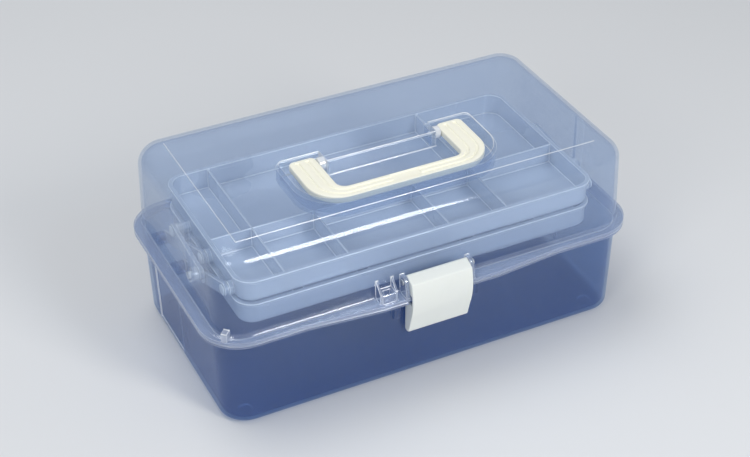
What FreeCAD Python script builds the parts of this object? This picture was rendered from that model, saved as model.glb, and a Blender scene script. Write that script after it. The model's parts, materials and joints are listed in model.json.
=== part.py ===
import FreeCAD, Part
import math
import os
import Sketcher

# A clear storage case with a hinged lid, a sunk carrying handle, a front latch and two
# trays that rise and swing back on side bars as the lid opens.
# Millimetres and degrees. X runs along the case, Y from the latch to the hinges, Z up.
# The origin is on the ground under the middle of the case.

# ---------------------------------------------------------------- driving sizes

SIZES = [
    # base box
    ("base_inset_x", 9.5, "foot of an end wall inside the end of the rims"),
    ("base_inset_y", 7.5, "foot of a long wall inside the side of the rims"),
    ("base_corner", 20.0, "outside corner radius at the bottom"),
    ("base_flare", 2.0, "how far each wall leans out up to the rim"),
    ("base_wall", 2.2, "wall thickness"),
    ("base_floor", 2.4, "floor thickness"),
    ("base_edge", 5.0, "radius of the bottom outer edge"),
    ("foot_height", 1.2, "height of the moulded feet"),
    ("foot_radius", 5.0, "radius of the moulded feet"),
    ("foot_inset_x", 17.5, "foot centre from the end of the base"),
    ("foot_inset_y", 16.0, "foot centre from the side of the base"),
    ("recess_depth", 1.0, "depth of the panel in each end wall"),
    ("recess_start", 3.0, "front edge of that panel behind the middle"),
    ("recess_width", 47.0, "width of that panel"),
    ("recess_top", 3.0, "top of that panel below the rim"),
    # rims where the base and the lid meet
    ("parting_height", 75.0, "height of the joint between base and lid"),
    ("parting_gap", 0.3, "gap between the two rims"),
    ("rim_length", 330.0, "length over the rims"),
    ("rim_depth", 183.0, "depth over the rims"),
    ("rim_corner", 30.0, "corner radius of the rims"),
    ("rim_thickness", 2.4, "thickness of each rim"),
    ("bulge_depth", 5.0, "how far the rims stand forward at the latch"),
    ("bulge_half", 45.0, "half the width of the forward part"),
    ("bulge_ramp", 52.0, "width of the slope on each side of it"),
    # lid
    ("lid_inset_x", 7.0, "foot of an end wall inside the end of the rims"),
    ("lid_inset_y", 5.5, "foot of a long wall inside the side of the rims"),
    ("lid_corner", 22.0, "outside corner radius"),
    ("lid_draft", 1.8, "how far each wall leans in up to the top"),
    ("lid_wall", 2.2, "wall thickness"),
    ("lid_edge", 14.5, "radius of the top outer edge"),
    ("lid_foot", 3.5, "hollow radius between the walls and the rim"),
    ("case_height", 142.3, "height of the closed case"),
    ("panel_rise", 0.4, "height of the level panel on the lid"),
    ("panel_inset_x", 21.6, "end of that panel inside the foot of the lid"),
    ("panel_inset_y", 19.1, "side of that panel inside the foot of the lid"),
    ("corner_rib_length", 6.2, "length of the block across the front left corner"),
    ("corner_rib_width", 4.4, "width of that block"),
    # pocket for the handle
    ("pocket_side", 7.0, "gap between a leg of the handle and the pocket's side"),
    ("pocket_ahead", 2.6, "gap between the grip and the pocket's front"),
    ("pocket_corner", 29.0, "radius of its front corners"),
    ("ear_behind", 2.0, "gap behind a leg of the handle"),
    ("ear_corner", 4.0, "radius of the ears' outer rear corners"),
    ("step_side", 5.0, "gap between a leg and the step of the lid between the legs"),
    ("step_front", 5.5, "front face of that step before the middle"),
    ("pocket_depth", 12.5, "depth of the pocket below the lid"),
    ("pocket_wall", 2.0, "thickness of its walls and floor"),
    # handle
    ("handle_width", 136.0, "width over the handle's legs"),
    ("handle_reach", 50.0, "front of the grip before the pivot"),
    ("handle_corner", 25.0, "outer corner radius"),
    ("handle_inner", 7.0, "inner corner radius"),
    ("leg_width", 20.0, "width of a leg"),
    ("grip_width", 12.5, "width of the grip"),
    ("handle_heel", 6.0, "length of a leg behind the pivot"),
    ("handle_thick", 6.0, "thickness of the handle"),
    ("handle_sink", 1.8, "top of the handle below the lid"),
    ("groove_width", 2.4, "width of each groove along the handle"),
    ("groove_depth", 1.0, "depth of each groove"),
    ("groove_end", 3.0, "end of the grooves before the end of a leg"),
    ("blank_length", 21.0, "length of the plain sunk face in the middle of the grip"),
    ("blank_rear", 1.6, "rear edge of that face before the rear of the grip"),
    ("heel_round", 4.0, "radius of the upright edges at the end of a leg"),
    ("handle_edge", 1.0, "radius of the handle's top edges"),
    ("handle_under", 2.0, "radius of its bottom edges"),
    ("grip_pin", 1.6, "radius of the handle's pins"),
    ("grip_boss", 4.6, "radius of the bosses beside the legs"),
    ("grip_pin_depth", 12.0, "length of pin inside a leg"),
    ("grip_head_thick", 1.5, "thickness of the pins' heads"),
    ("grip_head_lip", 0.4, "how far the heads stand out round the pins"),
    # latch
    ("latch_width", 46.6, "width of the latch"),
    ("latch_wall", 2.0, "thickness of its plate"),
    ("cheek_wall", 2.0, "thickness of its side cheeks"),
    ("latch_axis_in", 1.3, "latch pin behind the front of the plain rim"),
    ("latch_axis_up", 13.2, "latch pin above the joint"),
    ("latch_barrel", 4.0, "radius of its cheeks behind the pin"),
    ("latch_swell", 2.8, "how far the plate stands before the rim"),
    ("latch_drop", 30.7, "bottom of the latch below the joint"),
    ("latch_bow", 46.0, "radius of the plate's curve"),
    ("top_slope", 25.3, "slope of the latch's top face"),
    ("top_rise", 3.1, "distance of that face from the pin"),
    ("top_wall", 1.5, "thickness behind that face"),
    ("top_back", 2.5, "its rear end behind the pin, along the slope"),
    ("top_front", 6.05, "its front end before the pin, along the slope"),
    ("top_turn", 1.2, "front end of its inner side behind that"),
    ("cheek_turn", -20.0, "where the cheeks' round end runs into their rear edge"),
    ("bow_end_in", 3.2, "lower end of the plate's curve behind its front"),
    ("bow_end_up", 13.7, "lower end of that curve above the bottom"),
    ("toe_in", 6.8, "front of the toe behind the plate's front"),
    ("toe_up", 1.3, "front of the toe above the bottom"),
    ("toe_run", 2.5, "length of the toe's slope"),
    ("toe_wall", 1.0, "height of the toe's inner edge over its front"),
    ("cheek_gap", 1.0, "rear edge of the cheeks before the base's wall"),
    ("cheek_foot", 0.7, "rear edge's foot above the bottom"),
    ("mouth_in", 0.6, "notch in the cheeks before the rims' front edge"),
    ("mouth_run", 4.0, "length of the slopes into that notch"),
    ("mouth_below", 2.2, "notch below the rims"),
    ("mouth_below_slope", 2.8, "drop of its lower slope"),
    ("mouth_above", 0.8, "notch above the rims"),
    ("mouth_above_slope", 1.0, "rise of its upper slope"),
    ("nib_drop", 15.9, "top of the plate's nib below the rims"),
    ("nib_root", 3.0, "height of the nib at the plate"),
    ("nib_tip", 1.8, "height of the nib at its tip"),
    ("nib_side", 3.0, "end of the nib inside the end of the catch"),
    ("latch_pin_radius", 1.2, "radius of the latch pin"),
    ("latch_head_thick", 1.2, "thickness of the latch pin's heads"),
    ("latch_head_lip", 1.1, "how far its heads stand out round it"),
    ("lug_wall", 3.0, "thickness of the lid's lugs"),
    ("lug_inset", 0.3, "round end of a lug inside the cheeks' round end"),
    ("lug_root_rise", 3.4, "top of a lug at the wall above the latch pin"),
    ("lug_upper", 80.0, "where a lug's upper side meets its round end"),
    ("lug_lower", 190.0, "where a lug's lower side meets its round end"),
    ("notch_side", 1.8, "notch in the base's rim beyond the latch's side"),
    ("notch_rear", 0.6, "rear of that notch before the base's wall"),
    ("catch_reach", 2.0, "how far the catch stands out of the base"),
    ("catch_width", 30.0, "width of the catch"),
    ("catch_drop", 11.0, "top of the catch below the rim"),
    ("catch_height", 4.0, "height of the catch at the wall"),
    ("catch_slope", 2.0, "fall of its top"),
    ("guard_width", 4.6, "width of the guards beside the latch"),
    ("guard_gap", 1.6, "gap between the line of a lug and a guard"),
    ("guard_reach", 4.0, "how far the guards stand before the wall"),
    ("guard_height", 18.5, "height of the guards below the rim"),
    ("guard_slope", 4.5, "rise of their sloping undersides"),
    # padlock eye
    ("eye_gap", 15.2, "centre of the padlock eye beyond the latch's side"),
    ("eye_width", 10.0, "width of its block"),
    ("eye_height", 7.0, "height of its block above the rim"),
    ("eye_hole_width", 5.4, "width of its slot"),
    ("eye_hole_depth", 4.8, "depth of its slot"),
    ("eye_front_wall", 1.3, "wall before the slot"),
    ("eye_rib", 1.6, "thickness of its two ribs"),
    ("eye_rib_rise", 8.0, "how far the ribs run up the wall above the block"),
    ("eye_setback", 2.0, "front of the block behind the rim's front edge"),
    ("eye_chamfer", 1.2, "slope of the block's top front edge"),
    # rear hinges
    ("hinge_out", 4.0, "hinge axis behind the plain rim"),
    ("hinge_barrel", 3.6, "radius of the knuckles"),
    ("hinge_pin_radius", 1.5, "radius of the hinge pins"),
    ("hinge_place", 90.0, "hinge centre from the middle"),
    ("lid_knuckle", 12.0, "length of the lid's knuckle"),
    ("base_knuckle", 8.0, "length of each of the base's knuckles"),
    ("knuckle_root", 1.5, "how far a knuckle reaches into the rim"),
    # trays
    ("tray_inset_x", 27.0, "end of a tray's lip inside the end of the rims"),
    ("tray_inset_y", 19.0, "side of a tray's lip inside the side of the rims"),
    ("tray_corner", 14.0, "corner radius of the lip"),
    ("tray_lip", 1.7, "how far the lip stands out"),
    ("tray_lip_height", 2.0, "height of the lip"),
    ("tray_wall", 1.6, "wall thickness"),
    ("tray_floor", 1.8, "floor thickness"),
    ("tray_height", 17.7, "height of a tray"),
    ("tray_edge", 3.0, "radius of a tray's bottom edge"),
    ("tray_drop", 1.2, "underside of the lower tray below the joint"),
    ("tray_pitch", 18.5, "upper tray above the lower one"),
    ("partition_wall", 1.4, "thickness of the partitions"),
    ("partition_drop", 0.8, "top of the partitions below the lip"),
    ("row_wall", 12.5, "long partition before the middle"),
    ("divider_far_left", -104.0, "upper tray divider from the middle"),
    ("divider_near_left", -57.0, "upper tray divider from the middle"),
    ("divider_near_right", 20.0, "upper tray divider from the middle"),
    ("divider_far_right", 66.0, "upper tray divider from the middle"),
    ("divider_outer_left", -90.0, "lower tray divider from the middle"),
    ("divider_inner_left", -41.0, "lower tray divider from the middle"),
    ("divider_inner_right", 41.0, "lower tray divider from the middle"),
    ("divider_outer_right", 90.0, "lower tray divider from the middle"),
    # side bars, links and their pins
    ("bar_reach", 82.0, "bar pin in the base to bar pin on the upper tray"),
    ("bar_angle", 158.0, "direction of a bar from its base pin, closed"),
    ("bar_spacing", 40.0, "front bar pins before rear bar pins"),
    ("rear_bar_place", 62.0, "rear bar's base pin behind the middle"),
    ("bar_pin_drop", 8.5, "base pins below the joint"),
    ("bar_inset", 25.0, "inner face of the bars inside the end of the rims"),
    ("bar_thick", 3.0, "thickness of the bars"),
    ("bar_round", 4.8, "end radius of the bars"),
    ("link_inset", 19.0, "inner face of the lid links inside the end of the rims"),
    ("link_thick", 3.0, "thickness of the lid links"),
    ("link_round", 5.0, "end radius of the lid links"),
    ("link_lid_place", 22.0, "lid link's lid pin before the middle"),
    ("link_lid_rise", 16.6, "that pin above the joint, closed"),
    ("link_tray_place", 26.0, "lid link's tray pin behind the middle"),
    ("link_tray_rise", 21.3, "that pin above the joint, closed"),
    ("link_slack", 0.45, "extra radius of the link's hole at the tray"),
    ("pin_radius", 2.5, "radius of the bar and link pins"),
    ("pin_head", 4.0, "radius of their heads"),
    ("pin_head_thick", 1.0, "thickness of their heads"),
    ("boss_radius", 5.0, "radius of the bosses that hold them"),
    ("tray_link_boss", 4.2, "radius of the upper tray's link bosses"),
    ("pad_width", 10.0, "width of the upright pad behind a lid boss"),
    ("pad_height", 42.0, "height of that pad above the lid boss"),
    ("pad_thick", 3.0, "thickness of that pad"),
    ("seat_depth", 6.0, "depth of a pin's hole in a wall boss"),
    # fits
    ("turning_fit", 0.1, "radial gap where a part turns on its pin"),
    ("seat_fit", 0.05, "radial gap where a pin sits in its boss"),
    ("side_gap", 0.3, "gap between parts that move side by side"),
    ("end_gap", 0.2, "gap between a pin's end and the end of its hole"),
    # making
    ("root_lap", 0.5, "how far an added shape is sunk into what carries it"),
    ("overcut", 1.0, "how far a cut runs past the face that it opens"),
]

# Places nearer than this count as one.
NEAR = 0.01

# The lower tray's pins sit at this share of the way up the bars.
MIDDLE_HOLE = 0.5

doc = FreeCAD.newDocument("storage_case")
sheet = doc.addObject("Spreadsheet::Sheet", "sizes")
for row, (alias, number, meaning) in enumerate(SIZES, start=1):
    sheet.set(f"A{row}", meaning)
    sheet.set(f"B{row}", str(number))
    sheet.setAlias(f"B{row}", alias)
doc.recompute()


# ---------------------------------------------------------------- sizes as expressions

class Size:
    """A length or an angle with the expression that ties it to the sheet."""

    def __init__(self, number, text):
        self.number = number
        self.text = text

    def __add__(self, other):
        other = as_size(other)
        return Size(self.number + other.number, f"({self.text} + {other.text})")

    def __sub__(self, other):
        other = as_size(other)
        return Size(self.number - other.number, f"({self.text} - {other.text})")

    def __mul__(self, other):
        other = as_size(other)
        return Size(self.number * other.number, f"({self.text} * {other.text})")

    def __truediv__(self, other):
        other = as_size(other)
        return Size(self.number / other.number, f"({self.text} / {other.text})")

    def __neg__(self):
        return Size(-self.number, f"(-1 * {self.text})")

    def __radd__(self, other):
        return as_size(other) + self

    def __rsub__(self, other):
        return as_size(other) - self

    def __rmul__(self, other):
        return as_size(other) * self


def as_size(item):
    """Return the item as a Size, with plain numbers taken as they are."""
    if isinstance(item, Size):
        return item
    return Size(float(item), f"{float(item):.6f}")


def size(alias):
    """Return the sheet's cell of that name."""
    return Size(float(sheet.get(alias)), f"sizes.{alias}")


def cosine(angle):
    """Return the cosine of an angle in degrees."""
    angle = as_size(angle)
    return Size(math.cos(math.radians(angle.number)), f"cos({angle.text})")


def sine(angle):
    """Return the sine of an angle in degrees."""
    angle = as_size(angle)
    return Size(math.sin(math.radians(angle.number)), f"sin({angle.text})")


def bind(item, path, amount):
    """Tie one property of a document object to a size."""
    item.setExpression(path, as_size(amount).text)


# ---------------------------------------------------------------- sketches

def new_body(name):
    """Add a body whose label names its sub-part."""
    body = doc.addObject("PartDesign::Body", name)
    body.Label = name
    return body


def new_sketch(body, role, offset=0.0):
    """Add a sketch on one of the body's own planes, moved along its normal."""
    plane = [feature for feature in body.Origin.OriginFeatures if feature.Role == role][0]
    sketch = body.newObject("Sketcher::SketchObject", f"{body.Name}_sketch")
    sketch.AttachmentSupport = (plane, [""])
    sketch.MapMode = "FlatFace"
    offset = as_size(offset)
    sketch.AttachmentOffset = FreeCAD.Placement(
        FreeCAD.Vector(0, 0, offset.number), FreeCAD.Rotation()
    )
    bind(sketch, "AttachmentOffset.Base.z", offset)
    return sketch


def fix_point(sketch, geometry, point, x, y):
    """Hold a sketch point at the given place."""
    x = as_size(x)
    y = as_size(y)
    across = sketch.addConstraint(
        Sketcher.Constraint("DistanceX", -1, 1, geometry, point, x.number)
    )
    sketch.setExpression(f"Constraints[{across}]", x.text)
    along = sketch.addConstraint(
        Sketcher.Constraint("DistanceY", -1, 1, geometry, point, y.number)
    )
    sketch.setExpression(f"Constraints[{along}]", y.text)


def arc_between(start, end, radius):
    """Return an arc shorter than a half turn; a positive radius turns to the left."""
    chord = end - start
    reach = abs(radius)
    rise = math.sqrt(max(reach ** 2 - (chord.Length / 2) ** 2, 0.0))
    left = FreeCAD.Vector(-chord.y, chord.x, 0)
    left.normalize()
    side = 1 if radius > 0 else -1
    centre = (start + end) * 0.5 + left * (side * rise)
    middle = centre - left * (side * reach)
    return Part.Arc(start, middle, end)


def draw_outline(sketch, corners):
    """Draw a closed outline of lines and arcs.

    Each corner is (x, y), reached by a line, or (x, y, radius), reached by an arc.
    """
    places = [(as_size(corner[0]), as_size(corner[1])) for corner in corners]
    points = [FreeCAD.Vector(x.number, y.number, 0) for x, y in places]
    edges = []
    for index, corner in enumerate(corners):
        start = points[index - 1]
        if len(corner) == 2:
            shape = Part.LineSegment(start, points[index])
        else:
            shape = arc_between(start, points[index], as_size(corner[2]).number)
        edges.append(sketch.addGeometry(shape, False))
    # FreeCAD turns every arc anticlockwise, so an arc drawn clockwise ends at its start.
    ends = []
    for edge, corner in zip(edges, corners):
        backward = len(corner) == 3 and as_size(corner[2]).number < 0
        ends.append((2, 1) if backward else (1, 2))
    for index, edge in enumerate(edges):
        following = (index + 1) % len(edges)
        sketch.addConstraint(
            Sketcher.Constraint(
                "Coincident", edge, ends[index][1], edges[following], ends[following][0]
            )
        )
        fix_point(sketch, edge, ends[index][1], *places[index])
        if len(corners[index]) == 3:
            radius = as_size(corners[index][2])
            if radius.number < 0:
                radius = -radius
            held = sketch.addConstraint(Sketcher.Constraint("Radius", edge, radius.number))
            sketch.setExpression(f"Constraints[{held}]", radius.text)


def draw_circle(sketch, x, y, radius):
    """Draw a full circle."""
    x = as_size(x)
    y = as_size(y)
    radius = as_size(radius)
    centre = FreeCAD.Vector(x.number, y.number, 0)
    ring = sketch.addGeometry(Part.Circle(centre, FreeCAD.Vector(0, 0, 1), radius.number), False)
    fix_point(sketch, ring, 3, x, y)
    held = sketch.addConstraint(Sketcher.Constraint("Radius", ring, radius.number))
    sketch.setExpression(f"Constraints[{held}]", radius.text)


def draw_box(sketch, left, right, low, high):
    """Draw a rectangle."""
    draw_outline(sketch, [(left, low), (right, low), (right, high), (left, high)])


def draw_rounded(sketch, half_x, half_y, radius):
    """Draw a rectangle about the origin with rounded corners."""
    in_x = half_x - radius
    in_y = half_y - radius
    draw_outline(sketch, [
        (in_x, -half_y),
        (half_x, -in_y, radius),
        (half_x, in_y),
        (in_x, half_y, radius),
        (-in_x, half_y),
        (-half_x, in_y, radius),
        (-half_x, -in_y),
        (-in_x, -half_y, radius),
    ])


def draw_slot(sketch, first, second, reach):
    """Draw a flat bar's outline: two round ends joined by straight sides."""
    run_x = second[0] - first[0]
    run_y = second[1] - first[1]
    length = Size(
        math.hypot(run_x.number, run_y.number),
        f"sqrt({run_x.text} * {run_x.text} + {run_y.text} * {run_y.text})",
    )
    along = (run_x / length, run_y / length)
    side = (-along[1], along[0])
    draw_outline(sketch, [
        (second[0] - side[0] * reach, second[1] - side[1] * reach),
        (second[0] + along[0] * reach, second[1] + along[1] * reach, reach),
        (second[0] + side[0] * reach, second[1] + side[1] * reach, reach),
        (first[0] + side[0] * reach, first[1] + side[1] * reach),
        (first[0] - along[0] * reach, first[1] - along[1] * reach, reach),
        (first[0] - side[0] * reach, first[1] - side[1] * reach, reach),
    ])


# ---------------------------------------------------------------- features

def add_feature(body, kind, sketch, length, midplane, reverse):
    """Add a pad or a pocket of the given length."""
    feature = body.newObject(f"PartDesign::{kind}", f"{body.Name}_{kind.lower()}")
    feature.Profile = sketch
    bind(feature, "Length", length)
    feature.Midplane = midplane
    feature.Reversed = reverse
    sketch.Visibility = False
    doc.recompute()
    return feature


def pad(body, sketch, length, midplane=False, reverse=False):
    """Add material from a sketch."""
    return add_feature(body, "Pad", sketch, length, midplane, reverse)


def pocket(body, sketch, length, midplane=False, reverse=False):
    """Take material away and check that some went."""
    before = body.Shape.Volume
    feature = add_feature(body, "Pocket", sketch, length, midplane, reverse)
    if not body.Shape.Volume < before:
        raise RuntimeError(f"{feature.Name} cuts nothing")
    return feature


def lean_walls(body, length, lean, outward):
    """Lean the walls of the body's last pad, keeping its size at the bottom."""
    base = body.Tip
    low = base.Shape.BoundBox.ZMin
    walls = []
    floors = []
    for index, face in enumerate(base.Shape.Faces, start=1):
        if face.BoundBox.ZMax < low + NEAR:
            floors.append(f"Face{index}")
        elif face.BoundBox.ZLength > NEAR:
            walls.append(f"Face{index}")
    feature = body.newObject("PartDesign::Draft", f"{body.Name}_draft")
    feature.Base = (base, walls)
    feature.NeutralPlane = (base, floors)
    feature.Reversed = outward
    slope = lean / length
    feature.setExpression("Angle", f"atan({slope.text})")
    doc.recompute()
    return feature


def edges_where(shape, test):
    """Name the edges whose centre passes a test."""
    return [
        f"Edge{index}"
        for index, edge in enumerate(shape.Edges, start=1)
        if test(edge.BoundBox)
    ]


def fillet(body, test, radius):
    """Round the edges of the body's last feature that pass a test."""
    base = body.Tip
    names = edges_where(base.Shape, test)
    if not names:
        raise RuntimeError(f"{body.Name} has no such edge")
    feature = body.newObject("PartDesign::Fillet", f"{body.Name}_fillet")
    feature.Base = (base, names)
    bind(feature, "Radius", radius)
    doc.recompute()
    return feature


def level_at(height):
    """Return a test for edges that lie flat at a height."""
    number = as_size(height).number
    return lambda box: abs(box.ZMin - number) < NEAR and abs(box.ZMax - number) < NEAR


def cut_pair(name, base, tool):
    """Take one body away from another and label the result as a sub-part."""
    result = doc.addObject("Part::Cut", name)
    result.Label = name
    result.Base = base
    result.Tool = tool
    doc.recompute()
    return result


def round_post(body, side, start, length, place, height, radius):
    """Add a round post that runs outwards along X on one side of the case."""
    sketch = new_sketch(body, "YZ_Plane", start * side)
    draw_circle(sketch, place, height, radius)
    pad(body, sketch, length, reverse=side < 0)


def round_hole(body, side, start, length, place, height, radius):
    """Cut a round hole that runs outwards along X on one side of the case."""
    sketch = new_sketch(body, "YZ_Plane", start * side)
    draw_circle(sketch, place, height, radius)
    pocket(body, sketch, length, reverse=side > 0)


def turned_pin(name, steps, place, height, side=1, shift=0.0):
    """Make a round pin along X from (start, end, radius) steps in order."""
    body = new_body(name)
    sketch = new_sketch(body, "XY_Plane")
    corners = [(steps[0][0], 0.0), (steps[-1][1], 0.0)]
    for start, end, radius in reversed(steps):
        corners.append((end, radius))
        corners.append((start, radius))
    draw_outline(sketch, corners)
    turned = body.newObject("PartDesign::Revolution", f"{name}_turned")
    turned.Profile = sketch
    turned.ReferenceAxis = (sketch, ["H_Axis"])
    turned.Angle = 360
    angle = 0 if side > 0 else 180
    body.Placement = FreeCAD.Placement(
        FreeCAD.Vector(0, 0, 0), FreeCAD.Rotation(FreeCAD.Vector(0, 0, 1), angle)
    )
    bind(body, "Placement.Base.x", shift)
    bind(body, "Placement.Base.y", place)
    bind(body, "Placement.Base.z", height)
    doc.recompute()
    return body


# ---------------------------------------------------------------- shared places

BASE_TOP = size("parting_height") - size("parting_gap") / 2
LID_BOTTOM = size("parting_height") + size("parting_gap") / 2
LID_RIM_TOP = LID_BOTTOM + size("rim_thickness")
BASE_RIM_UNDER = BASE_TOP - size("rim_thickness")
LID_TOP = size("case_height") - size("panel_rise")
RIM_FRONT = size("rim_depth") / 2
BULGE_FRONT = RIM_FRONT + size("bulge_depth")
RIM_END = size("rim_length") / 2
BASE_FOOT_END = RIM_END - size("base_inset_x")
BASE_FOOT_FRONT = RIM_FRONT - size("base_inset_y")
BASE_WALL_FRONT = BASE_FOOT_FRONT + size("base_flare")
LID_WALL_END = RIM_END - size("lid_inset_x")
LID_WALL_FRONT = RIM_FRONT - size("lid_inset_y")
TRAY_END = RIM_END - size("tray_inset_x") - size("tray_lip")
TRAY_FRONT = RIM_FRONT - size("tray_inset_y") - size("tray_lip")
LOWER_TRAY_FLOOR = size("parting_height") - size("tray_drop")

BAR_LANE = RIM_END - size("bar_inset")
LINK_LANE = RIM_END - size("link_inset")
BAR_REAR = size("rear_bar_place")
BAR_HEIGHT = size("parting_height") - size("bar_pin_drop")
BAR_RUN = size("bar_reach") * cosine(size("bar_angle"))
BAR_RISE = size("bar_reach") * sine(size("bar_angle"))
BAR_FACE_OUT = BAR_LANE + size("bar_thick")
BOSS_FACE = BAR_FACE_OUT + size("side_gap")
TRAY_BOSS_FACE = BAR_LANE - size("side_gap")
LINK_FACE_OUT = LINK_LANE + size("link_thick")
LID_BOSS_FACE = LINK_FACE_OUT + size("side_gap")
TRAY_LINK_FACE = LINK_LANE - size("side_gap")
SEAT_RADIUS = size("pin_radius") + size("seat_fit")
TURN_RADIUS = size("pin_radius") + size("turning_fit")
SEAT_DEPTH = size("seat_depth")

LINK_LID = (-size("link_lid_place"), size("parting_height") + size("link_lid_rise"))
LINK_TRAY = (size("link_tray_place"), size("parting_height") + size("link_tray_rise"))

LATCH_Y = -(RIM_FRONT - size("latch_axis_in"))
LATCH_Z = size("parting_height") + size("latch_axis_up")
HINGE_Y = RIM_FRONT + size("hinge_out")
HINGE_Z = size("parting_height")
EYE_CENTRE = -(size("latch_width") / 2 + size("eye_gap"))
EYE_FRONT = -(BULGE_FRONT - size("eye_setback"))

HANDLE_TOP = size("case_height") - size("handle_sink")
HANDLE_AXIS = HANDLE_TOP - size("handle_thick") / 2
LEG_INSIDE = size("handle_width") / 2 - size("leg_width")
STEP_SIDE = LEG_INSIDE - size("step_side")

SIDES = {"left": -1, "right": 1}
SQUARE_CORNER = 90


# ---------------------------------------------------------------- base

def add_rim(body, underside):
    """Add a flat rim with its forward part at the latch."""
    sketch = new_sketch(body, "XY_Plane", underside)
    draw_rounded(sketch, RIM_END, RIM_FRONT, size("rim_corner"))
    pad(body, sketch, size("rim_thickness"))
    forward = new_sketch(body, "XY_Plane", underside)
    wide = size("bulge_half") + size("bulge_ramp")
    draw_outline(forward, [
        (-wide, -RIM_FRONT),
        (-size("bulge_half"), -BULGE_FRONT),
        (size("bulge_half"), -BULGE_FRONT),
        (wide, -RIM_FRONT),
        (wide, -LID_WALL_FRONT),
        (-wide, -LID_WALL_FRONT),
    ])
    pad(body, forward, size("rim_thickness"))


def cut_eye_slot(body, top, depth):
    """Cut the padlock slot down through a rim."""
    sketch = new_sketch(body, "XY_Plane", top)
    front = EYE_FRONT + size("eye_front_wall")
    half = size("eye_hole_width") / 2
    rear = front + size("eye_hole_depth")
    draw_box(sketch, EYE_CENTRE - half, EYE_CENTRE + half, front, rear)
    pocket(body, sketch, depth)


def make_base():
    """Make the base box with its rim, feet, catch, guards and hinge knuckles."""
    body = new_body("base_outer")
    low = new_sketch(body, "XY_Plane", size("foot_height"))
    draw_rounded(low, BASE_FOOT_END, BASE_FOOT_FRONT, size("base_corner"))
    pad(body, low, BASE_TOP - size("foot_height"))
    flare = size("base_flare")
    lean_walls(body, BASE_TOP - size("foot_height"), flare, outward=True)
    fillet(body, level_at(size("foot_height")), size("base_edge"))
    add_rim(body, BASE_RIM_UNDER)

    # The rim is cut back behind the latch, so the lid carries the latch up past it.
    notch = new_sketch(body, "XY_Plane", BASE_TOP)
    half = size("latch_width") / 2 + size("notch_side")
    ahead = -(BULGE_FRONT + size("overcut"))
    draw_box(notch, -half, half, ahead, -(BASE_WALL_FRONT + size("notch_rear")))
    pocket(body, notch, size("rim_thickness"))
    cut_eye_slot(body, BASE_TOP, size("rim_thickness"))

    # A shallow panel in each end wall follows the wall's slope.
    slope = flare / (BASE_TOP - size("foot_height"))
    panel_low = size("foot_height") + size("base_edge")
    panel_high = BASE_RIM_UNDER - size("recess_top")
    outside = size("recess_depth") + size("overcut")
    for side in SIDES.values():
        panel = new_sketch(body, "XZ_Plane", -size("recess_start"))
        face = BASE_FOOT_END - size("recess_depth")
        inner_low = face + slope * (panel_low - size("foot_height"))
        inner_high = face + slope * (panel_high - size("foot_height"))
        draw_outline(panel, [
            (inner_low * side, panel_low),
            (inner_high * side, panel_high),
            ((inner_high + outside) * side, panel_high),
            ((inner_low + outside) * side, panel_low),
        ])
        pocket(body, panel, size("recess_width"))

    # Two guards under the rim flank the latch, and the catch stands between them.
    root = -(BASE_WALL_FRONT - size("base_wall") / 2)
    lug_side = size("latch_width") / 2 + size("side_gap") + size("lug_wall")
    for side in SIDES.values():
        guard = new_sketch(body, "YZ_Plane", (lug_side + size("guard_gap")) * side)
        reach = -(BASE_WALL_FRONT + size("guard_reach"))
        foot = BASE_RIM_UNDER - size("guard_height")
        draw_outline(guard, [
            (root, foot),
            (root, BASE_RIM_UNDER),
            (reach, BASE_RIM_UNDER),
            (reach, foot + size("guard_slope")),
        ])
        pad(body, guard, size("guard_width"), reverse=side < 0)
    catch = new_sketch(body, "YZ_Plane")
    tip = -(BASE_WALL_FRONT + size("catch_reach"))
    top = BASE_RIM_UNDER - size("catch_drop")
    draw_outline(catch, [
        (root, top),
        (tip, top - size("catch_slope")),
        (tip, top - size("catch_height")),
        (root, top - size("catch_height")),
    ])
    pad(body, catch, size("catch_width"), midplane=True)

    for side in SIDES.values():
        for end in (-1, 1):
            centre = size("hinge_place") * side
            shift = (size("lid_knuckle") / 2 + size("side_gap")) * end
            knuckle(body, centre + shift, size("base_knuckle"), end, below=True)

    for side in SIDES.values():
        for end in (-1, 1):
            foot = new_sketch(body, "XY_Plane")
            draw_circle(
                foot,
                (BASE_FOOT_END - size("foot_inset_x")) * side,
                (BASE_FOOT_FRONT - size("foot_inset_y")) * end,
                size("foot_radius"),
            )
            pad(body, foot, size("foot_height") + size("base_floor") / 2)
    return cut_pair("base_shell", body, make_base_hollow())


def knuckle(body, start, length, end, below):
    """Add a hinge knuckle that joins a rim's rear edge, with its pin hole."""
    barrel = new_sketch(body, "YZ_Plane", start)
    draw_circle(barrel, HINGE_Y, HINGE_Z, size("hinge_barrel"))
    pad(body, barrel, length, reverse=end < 0)
    web = new_sketch(body, "YZ_Plane", start)
    joint = BASE_TOP if below else LID_BOTTOM
    far = HINGE_Z - size("hinge_barrel") if below else HINGE_Z + size("hinge_barrel")
    low, high = (far, joint) if below else (joint, far)
    draw_box(web, RIM_FRONT - size("knuckle_root"), HINGE_Y, low, high)
    pad(body, web, length, reverse=end < 0)
    hole = new_sketch(body, "YZ_Plane", start)
    fit = size("seat_fit") if below else size("turning_fit")
    draw_circle(hole, HINGE_Y, HINGE_Z, size("hinge_pin_radius") + fit)
    pocket(body, hole, length, reverse=end > 0)


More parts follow.
